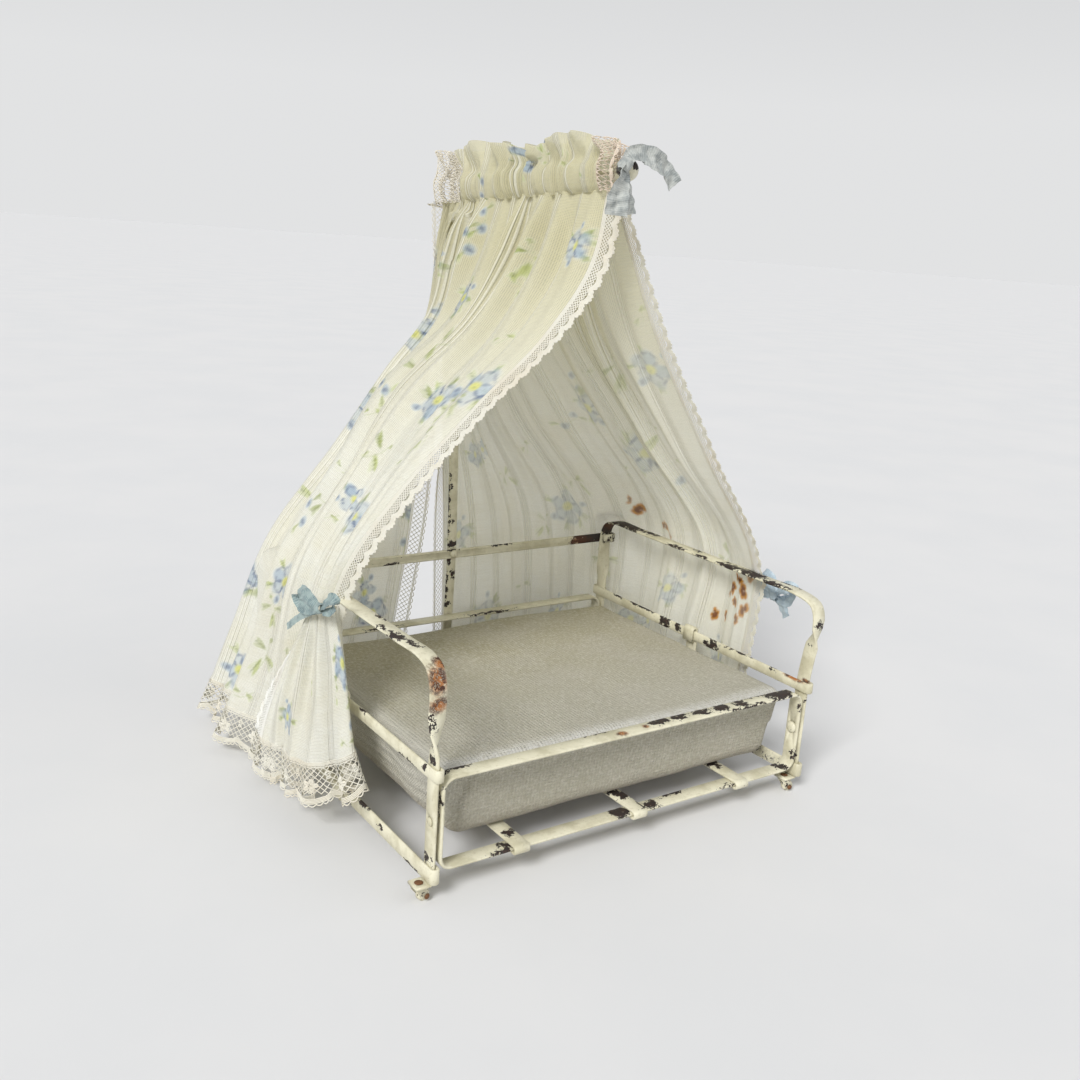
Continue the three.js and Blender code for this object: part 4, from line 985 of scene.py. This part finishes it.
def heading_points(side, seed, columns=430, rows=34):
    """Gathered cloth from the seam, round the rod's side and up into the frill; and its Y and height grids."""
    y, h = np.meshgrid(np.linspace(HEADING_FRONT, HEADING_REAR, columns), np.linspace(0, 1, rows))
    knots = np.linspace(0, 1, len(HEADING_PROFILE))
    profile = through(knots, HEADING_PROFILE, h[:, 0])[:, None, :]
    place = y + 4.0 * wander(y, seed, 8)
    turn = place * TURN / 6.4 + 0.9 * wander(y, seed + 9, 4)
    pleat = np.sin(turn + 0.6 * np.sin(turn)) + 0.4 * np.sin(place * TURN / 2.9 + 1)
    pleat = pleat * (0.85 + 0.6 * wander(y, seed + 7, 7))
    flute = np.sin(place * TURN / FLUTE + seed) + 0.35 * np.sin(place * TURN / 5.2)
    nod = np.cos(place * TURN / FLUTE + seed)
    frill = smooth(h, PINCH - 0.01, 1.0)
    casing = np.sin(np.clip(h / PINCH, 0, 1) * math.pi)
    out = (profile[..., 0] + pleat * (1.5 + 0.2 * hump(h, PINCH, 0.07)) * (1 - 0.7 * frill)
           + flute * 2.6 * frill + 0.9 * casing * wander(y, seed + 2, 4))
    opening = 5.0 * hump(y, 71, 6.5) if side < 0 else 0.0
    front_drop = 3.6 * smooth(y, 56, 38)
    rise = (profile[..., 1] + frill * (1.8 * wander(y, seed + 4, 9) - opening - front_drop + 0.7 * nod - 0.8)
            + 0.3 * casing * pleat)
    sway = frill * 0.7 * nod + 0.35 * casing * wander(y + 9 * h, seed + 8, 5)
    return np.stack([ROD_FRONT[0] + side * out, y + sway, rod_z(y) + rise], axis=-1), y, h


def build_heading():
    cloth = voile("voile_heading")
    peach = cotton_thread("lace_peach", (0.87, 0.74, 0.61))
    blush = cotton_thread("lace_blush", (0.89, 0.84, 0.73))
    for label, side, seed in (("left", -1, 2), ("right", 1, 5)):
        name = f"canopy_heading_{label}"
        points, y, h = heading_points(side, seed)
        first, last = np.searchsorted(points[0, :, 1], (FRONT_LACE_END, REAR_LACE_START))
        ends = (("front", points[:, :first + 1], FRONT_LACE_WIDE, False, peach),
                ("rear", points[:, last:], REAR_LACE_WIDE, True, blush))
        trims = [lace_piece(f"{name}_{end}_lace", end_lace(HEADING_TALL, deep),
                            over_surface(under, HEADING_TALL, deep, outward_end), thread, wide=0.36)
                 for end, under, deep, outward_end, thread in ends]
        kept = slice(first, last + 1)
        sheet = Sheet(points[:, kept], y[:, kept] * HEADING_PRINT_SPREAD, h[:, kept] * HEADING_TALL,
                      (REAR_LACE_START - FRONT_LACE_END) * HEADING_FULLNESS, HEADING_TALL)
        hung(name, sheet, cloth, painted(sheet, HEADING_SPRAYS, seed), stained(sheet, ()),
             ["canopy_heading"] if side < 0 else [])


# ---- ribbon bows --------------------------------------------------------------------------------------------

# By bow: the ribbon's name, light colour and colour in painted shade, the knot (centre, radii, axis), what the loop
# rests on, and the strips, with the loop last. A strip is (curl, points), a point (x, y, z, direction across, width).
BOWS = {
    "bow_rod_end": ("ribbon_grey_blue", (0.50, 0.515, 0.485), (0.27, 0.295, 0.29),
                    ((-4.6, 23.2, 196.4), (1.9, 2.2, 1.9), (0.6, 0, 0.8)), ["rod_end_bead", "canopy_pole"], {
        "tail": (0.35, [
            (-4.4, 23.0, 196.8, 0.75, 0.5, 0.1, 3.6), (-6.4, 21.9, 192.6, 0.9, 0.3, 0, 5.4),
            (-7.6, 21.8, 188, 0.95, -0.2, 0, 6.2), (-7.8, 22, 182.8, 0.9, -0.35, 0, 6.6)]),
        "side_tail": (-0.3, [
            (-3.8, 23.0, 196.2, 0.8, 0.5, 0.1, 3.2), (-3.6, 22.2, 191.6, 0.9, 0.3, 0, 4.4),
            (-2.6, 21.8, 187.4, 0.9, 0.4, 0, 5.2), (-2.0, 22, 183.4, 0.9, 0.2, 0, 5.6)]),
        "loop": (0.4, [
            (-4.2, 23.4, 197.0, -0.49, 0.78, 0.54, 3.0), (-2.6, 22.8, 198.9, -0.2, 0.6, 0.8, 4.8),
            (0.8, 23.4, 199.4, 0.12, 0.35, 1.0, 5.6), (4.6, 22.2, 198.6, 0.5, 0.08, 0.93, 6.0),
            (8.8, 22.4, 196.0, 0.3, 0.3, 0.9, 5.6), (12.8, 22.0, 192.4, 0.54, -0.38, 0.75, 4.6)]),
    }),
    "bow_left_arm": ("ribbon_teal", (0.31, 0.40, 0.385), (0.15, 0.22, 0.23),
                     ((-82.6, 46.4, 70.2), (1.5, 1.7, 1.6), (0, 0.9, -0.35)), ["canopy_left_cloth"], {
        "tail": (0.18, [
            (-82.9, 47.2, 69.6, 0.15, 0.3, 0.95, 2.0), (-83.9, 52.2, 67.3, 0.15, 0.25, 0.95, 2.3),
            (-84.5, 58.3, 63.7, 0.1, 0.45, 0.9, 2.2), (-84.7, 65.1, 59.1, 0.2, 0.6, 0.8, 2.2)]),
        "right_loop": (0.18, [
            (-82.6, 46.1, 70.2, 0.5, 0.4, 0.8, 2.0), (-82.1, 43.4, 72.3, 0.4, 0.6, 0.7, 3.5),
            (-81.6, 40.5, 74.3, 0.3, 0.65, 0.65, 4.2), (-81.3, 39.1, 73.4, 0.3, 0.6, 0.7, 3.8),
            (-81.8, 41.1, 71.1, 0.4, 0.4, 0.8, 3.2), (-82.4, 44.6, 69.7, 0.5, 0.3, 0.8, 2.0)]),
        "loop": (0.18, [
            (-82.8, 47.0, 70.4, 0.3, 0.2, 0.9, 2.0), (-84.0, 50.3, 71.9, 0.3, 0.3, 0.9, 3.7),
            (-84.2, 55.2, 72.6, 0.3, 0.35, 0.85, 4.2), (-83.7, 59.3, 71.1, 0.35, 0.5, 0.8, 4.2),
            (-84.2, 56.0, 68.7, 0.25, 0.3, 0.9, 3.5), (-83.7, 50.7, 68.7, 0.3, 0.2, 0.9, 3.2),
            (-82.8, 47.3, 69.7, 0.3, 0.2, 0.9, 2.0)]),
    }),
    "bow_right_arm": ("ribbon_pale_blue", (0.50, 0.60, 0.66), (0.36, 0.46, 0.54),
                      ((77.6, 24.0, 60.6), (1.5, 1.8, 1.6), (0, 0.9, 0.3)), ["canopy_right_cloth"], {
        "tail": (0.18, [
            (77.6, 23.6, 60.2, 0.3, 0.7, -0.6, 3), (78.4, 21, 57.5, 0.3, 0.7, -0.5, 4.5),
            (78.6, 18.6, 54.4, 0.2, 0.8, -0.4, 4.5)]),
        "front_loop": (0.18, [
            (77.6, 23.4, 61, 0.5, 0.3, 0.8, 2.6), (78.6, 20.4, 64.6, 0.4, 0.4, 0.8, 5),
            (78.8, 17.0, 64.2, 0.4, 0.5, 0.7, 5.5), (78.6, 18.6, 60.8, 0.4, 0.4, 0.8, 5),
            (77.8, 22.4, 60, 0.5, 0.3, 0.8, 2.6)]),
        "loop": (0.18, [
            (77.6, 24.6, 61, 0.5, -0.3, 0.8, 2.6), (78.8, 28.4, 65, 0.4, -0.4, 0.8, 5.2),
            (78.6, 32.0, 65.8, 0.4, -0.5, 0.7, 6), (78.2, 31.0, 61.6, 0.4, -0.4, 0.8, 5.2),
            (77.8, 26, 60, 0.5, -0.3, 0.8, 2.6)]),
    }),
}


def ribbon_cloth(name, colour, deep):
    g = Graph(name)
    where = g.attribute("cloth")
    ribs = g.wave(g.split(where)[0], 0.55)
    wrinkle = g.noise(g.bed(), 0.35, 4, 0.65)
    grain = g.noise(where, 2.5, 3, 0.6)
    # painted shade: the ribbon's darker colour, deep, laid on by the wrinkle noise
    shade = g.mix(g.ramp(wrinkle, 0.38, 0.66), colour, deep)
    # painted highlight: pale grey on the raised ribs
    shade = g.mix(g.ramp(g.plus(ribs, grain), 0.4, 1.4, 0.0, 0.2), shade, (0.78, 0.80, 0.78))
    height = g.plus(g.plus(g.times(ribs, 0.15), g.times(wrinkle, 5.0)), grain)
    normal = g.bump(height, 0.6, 0.0002)
    front = g.principled(Base_Color=shade, Roughness=0.62, Normal=normal, Sheen_Weight=0.2,
                         Specular_IOR_Level=0.3)
    return g.finish(g.shine_through(0.15, front, shade, normal))


def ribbon(name, knots, curl, material):
    """A strip of ribbon along smooth knots; returns it with its mean width and its length."""
    knots = np.array(knots, float)
    where = lengths(knots[:, :3])
    long = where[-1]
    steps = np.linspace(0, long, max(12, int(long / 0.6)))
    line, lateral, width = np.split(through(where, knots, steps), (3, 6), axis=1)
    along = unit(np.gradient(line, axis=0))
    lateral = square_to(unit(lateral), along)
    share = np.linspace(-1, 1, 11)
    half = width[:, None, :] / 2
    ripple = (0.12 * np.sin(share * 5.0 + 1) * np.sin(steps / 2.3)[:, None]
              + 0.10 * np.sin(share * 2.6 + steps[:, None] * 1.9 + 0.5))
    proud = (curl * share ** 2 + ripple)[..., None] * half
    points = (line[:, None] + lateral[:, None] * share[None, :, None] * half
              + np.cross(along, lateral)[:, None] * proud)
    uv = np.stack(np.meshgrid(steps, share * 3.5, indexing="ij"), axis=-1).reshape(-1, 2)
    faces = grid_faces(len(steps), len(share))
    piece = new_mesh(name, points.reshape(-1, 3), faces, material, slot="ribbon", cloth=uv)
    return piece, float(np.mean(width)), long


def knot(name, centre, radii, axis, material, rows=9, columns=20):
    """The bow's knot: a short turn of ribbon round the middle."""
    axis = unit(np.array(axis, float))
    b = unit(np.cross(axis, (0, 0, 1.0) if abs(axis[2]) < 0.8 else (1.0, 0, 0)))
    c = np.cross(axis, b)
    s, a = np.meshgrid(np.linspace(-1, 1, rows), np.arange(columns) * TURN / columns, indexing="ij")
    s, a = s[..., None], a[..., None]
    swell = (1 - 0.35 * s * s) * (1 + 0.07 * np.sin(3 * a + 4 * s) + 0.05 * np.sin(7 * a))
    points = centre + axis * s * radii[0] + (b * np.cos(a) * radii[1] + c * np.sin(a) * radii[2]) * swell
    uv = np.stack(np.meshgrid(np.arange(rows) * 0.8, np.arange(columns) * 0.7, indexing="ij"), axis=-1)
    faces = grid_faces(rows, columns, wrap=True)
    return new_mesh(name, points.reshape(-1, 3), faces, material, slot="ribbon", cloth=uv.reshape(-1, 2))


def build_bows():
    for node, (ribbon_name, light, dark, turn, rests_on, strips) in BOWS.items():
        material = ribbon_cloth(ribbon_name, light, dark)
        others = [knot(f"{node}_knot", *turn, material)]
        for label, (curl, knots) in strips.items():
            piece, wide, long = ribbon(f"{node}_{label}", knots, curl, material)
            if label != "loop":
                others.append(piece)
                continue
            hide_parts(node)


# ---- mattress -----------------------------------------------------------------------------------------------

def flannel():
    g = Graph("flannel")
    where = g.bed()
    x, y, z = g.split(where)
    nap = g.noise(where, 0.85, 6, 0.8)
    fuzz = g.noise(where, 2.6, 5, 0.75)
    cloud = g.noise(where, 0.05, 4, 0.6)
    weave = g.times(g.plus(g.wave(x, 1.15), g.wave(g.plus(y, z), 1.0)), g.noise(where, 0.3, 2, 0.5))
    # painted shade: darker and more khaki towards the rear of the pad
    colour = g.mix(g.ramp(y, 10.0, 105.0), (0.505, 0.475, 0.36), (0.43, 0.38, 0.205))
    # painted highlight: the left end lighter, as if lit from the left
    colour = g.mix(g.ramp(x, -58.0, -64.0, 0.0, 0.7), colour, (0.74, 0.72, 0.63))
    colour = g.mix(g.ramp(cloud, 0.35, 0.7, 0.0, 0.5), colour, (0.58, 0.54, 0.44))
    colour = g.mix(g.ramp(nap, 0.42, 0.66, 0.0, 0.8), colour, (0.73, 0.70, 0.60))
    furrow = g.ramp(g.plus(fuzz, g.times(weave, 0.12)), 0.50, 0.70, 0.0, 0.5)
    colour = g.mix(furrow, colour, (0.33, 0.30, 0.235))
    # whitish fuzz along the top front edge, with a painted highlight there
    fuzz_and_highlight_edge = g.times(g.ramp(z, 29.5, 34.0), g.ramp(y, 11.0, 5.5))
    colour = g.mix(g.times(fuzz_and_highlight_edge, g.ramp(nap, 0.3, 0.6, 0.3, 0.9)), colour, (0.80, 0.785, 0.73))
    # painted shade: darker and browner towards the drawn-in underside
    colour = g.mix(g.ramp(g.plus(z, g.times(nap, 8.0)), 22.0, 14.0, 0.0, 0.6), colour, (0.36, 0.30, 0.22))
    height = g.plus(g.plus(g.times(nap, 2.4), g.times(fuzz, 1.2)), g.times(weave, 0.5))
    return g.finish(g.principled(Base_Color=colour, Roughness=1.0, Normal=g.bump(height, 0.9, 0.0005),
                                 Specular_IOR_Level=0.05, Sheen_Weight=0.25, Sheen_Roughness=0.5))


def block_grid(counts):
    """The points and quads of a cube from -1 to 1, with counts of quads along each axis."""
    points, faces, index = [], [], {}

    def vertex(spot):
        if spot not in index:
            index[spot] = len(points)
            points.append([2 * n / count - 1 for n, count in zip(spot, counts)])
        return index[spot]

    for axis in range(3):
        a, b = [n for n in range(3) if n != axis]
        for level in (0, counts[axis]):
            for p in range(counts[a]):
                for q in range(counts[b]):
                    corner = []
                    for dp, dq in ((0, 0), (1, 0), (1, 1), (0, 1)):
                        spot = [0, 0, 0]
                        spot[axis], spot[a], spot[b] = level, p + dp, q + dq
                        corner.append(vertex(tuple(spot)))
                    flip = (level == 0) == (axis != 1)
                    faces.append(tuple(corner[::-1] if flip else corner))
    return np.array(points), faces


def build_mattress():
    """A soft pad: a rounded block drawn in towards its underside, puckered along its seams and ends."""
    half, middle = (PAD_HIGH - PAD_LOW) / 2, (PAD_HIGH + PAD_LOW) / 2
    cube, faces = block_grid(PAD_GRID)
    radius = np.where(cube[:, 2:] > 0, PAD_TOP_ROUND, PAD_FOOT_ROUND)
    core = np.clip(cube * half, radius - half, half - radius)
    offset = cube * half - core
    size = np.linalg.norm(offset, axis=1, keepdims=True)
    x, y, z = (core + unit(offset) * np.minimum(size, radius) + middle).T
    under = np.clip((PAD_HIGH[2] - z) / (PAD_HIGH[2] - PAD_LOW[2]), 0, 1)
    # the sides slope in to the underside, most at the left end
    front_face, rear_face = smooth(y, 26, 4), smooth(y, 84, 106)
    left_face, right_face = smooth(x, -40, -66), smooth(x, 44, 66)
    y = y + front_face * under * 2.9 - rear_face * under * 3.5
    x = x + left_face * under * 7.6 - right_face * under * 2.2
    # puckers: fine gathers across the left end, soft dents along the front, a crease by the front left corner
    skin_left, skin_front = smooth(x, -50, -60), smooth(y, 13, 6)
    x = x - skin_left * (0.55 * np.sin(z * 1.55 + 1.6 * wander(y, 4, 14)) * (0.4 + 0.6 * wander(y, 6, 11) ** 2)
                         + 0.5 * wander(y, 9, 6))
    y = y - skin_front * (0.45 * wander(x, 11, 9) + 0.35 * wander(x + z * 1.3, 12, 3.2) * under)
    crease = hump(x, (z - 22) * 0.25 - 57.5, 1.5) * skin_front * smooth(z, 12, 16) * smooth(z, 34, 29)
    y = y + 1.6 * crease
    to_side = np.minimum(66 - np.abs(x), np.minimum(y - 5, 105 - y))
    z = z + smooth(z, 28, 34) * (0.35 * wander(x * 0.9 + y * 0.4, 14, 17) + 0.25 * wander(y - x * 0.3, 15, 9)
                                 - 0.4 * smooth(to_side, 5, 0))
    z = z + under * skin_front * 0.5 * wander(x, 17, 7)
    points = np.stack([x, y, np.clip(z, 10.75, 35.6)], axis=1)
    pad = new_mesh("mattress_pad", points, faces, flannel(), body="mattress", slot="flannel")
    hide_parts("mattress")


# ---- floor, light and camera --------------------------------------------------------------------------------

def build_world():
    """Pale grey all round, a little darker towards the top."""
    world = bpy.context.scene.world or bpy.data.worlds.new("studio")
    bpy.context.scene.world = world
    world.use_nodes = True
    nodes, links = world.node_tree.nodes, world.node_tree.links
    split = nodes.new("ShaderNodeSeparateXYZ")
    links.new(nodes.new("ShaderNodeTexCoord").outputs["Generated"], split.inputs[0])
    height = nodes.new("ShaderNodeMapRange")
    for i, value in enumerate((0.12, 0.6, 0.0, 1.0)):
        height.inputs[i + 1].default_value = value
    links.new(split.outputs[2], height.inputs[0])
    sky = nodes.new("ShaderNodeMix")
    sky.data_type = "RGBA"
    sky.inputs[6].default_value = (0.76, 0.765, 0.77, 1)
    sky.inputs[7].default_value = (0.44, 0.45, 0.465, 1)
    links.new(height.outputs[0], sky.inputs[0])
    links.new(sky.outputs[2], nodes["Background"].inputs["Color"])


def studio():
    build_world()
    g = Graph("floor_grey_white")
    mottle = g.noise(g.place(), 9.0, 4, 0.6)
    colour = g.mix(g.ramp(mottle, 0.3, 0.7), (0.70, 0.70, 0.70), (0.725, 0.72, 0.715))
    mesh = bpy.data.meshes.new("floor")
    corners = [(FLOOR_HALF * x, FLOOR_HALF * y, 0) for x, y in ((-1, -1), (1, -1), (1, 1), (-1, 1))]
    mesh.from_pydata(corners, [], [(0, 1, 2, 3)])
    mesh.materials.append(g.finish(g.principled(Base_Color=colour, Roughness=0.85, Specular_IOR_Level=0.2)))
    link(bpy.data.objects.new("floor", mesh))
    for name, where, strength, spread in LAMPS:
        light = bpy.data.lights.new(name, "SUN")
        light.energy = strength
        light.angle = math.radians(spread)
        lamp = link(bpy.data.objects.new(name, light))
        lamp.location = Vector(row(where))
        lamp.rotation_euler = (Vector(row(LIT_MIDDLE)) - lamp.location).to_track_quat("-Z", "Y").to_euler()
    bpy.context.scene.view_settings.view_transform = "Standard"


def photographer():
    forward = Vector((-math.sin(YAW) * math.cos(PITCH), math.cos(YAW) * math.cos(PITCH), -math.sin(PITCH)))
    right = Vector((math.cos(YAW), math.sin(YAW), 0))
    up = right.cross(forward)
    side = right * math.cos(ROLL) + up * math.sin(ROLL)
    top = up * math.cos(ROLL) - right * math.sin(ROLL)
    data = bpy.data.cameras.new("camera")
    data.lens = LENS
    data.sensor_width = 36
    data.clip_start = 0.01
    camera = link(bpy.data.objects.new("camera", data))
    turn = Matrix((side, top, -forward)).transposed().to_4x4()
    camera.matrix_world = Matrix.Translation(Vector(row(CAMERA_PLACE))) @ turn
    bpy.context.scene.camera = camera


photographer()
studio()
dress_metal()
build_mattress()
build_canopy()
build_heading()
build_bows()
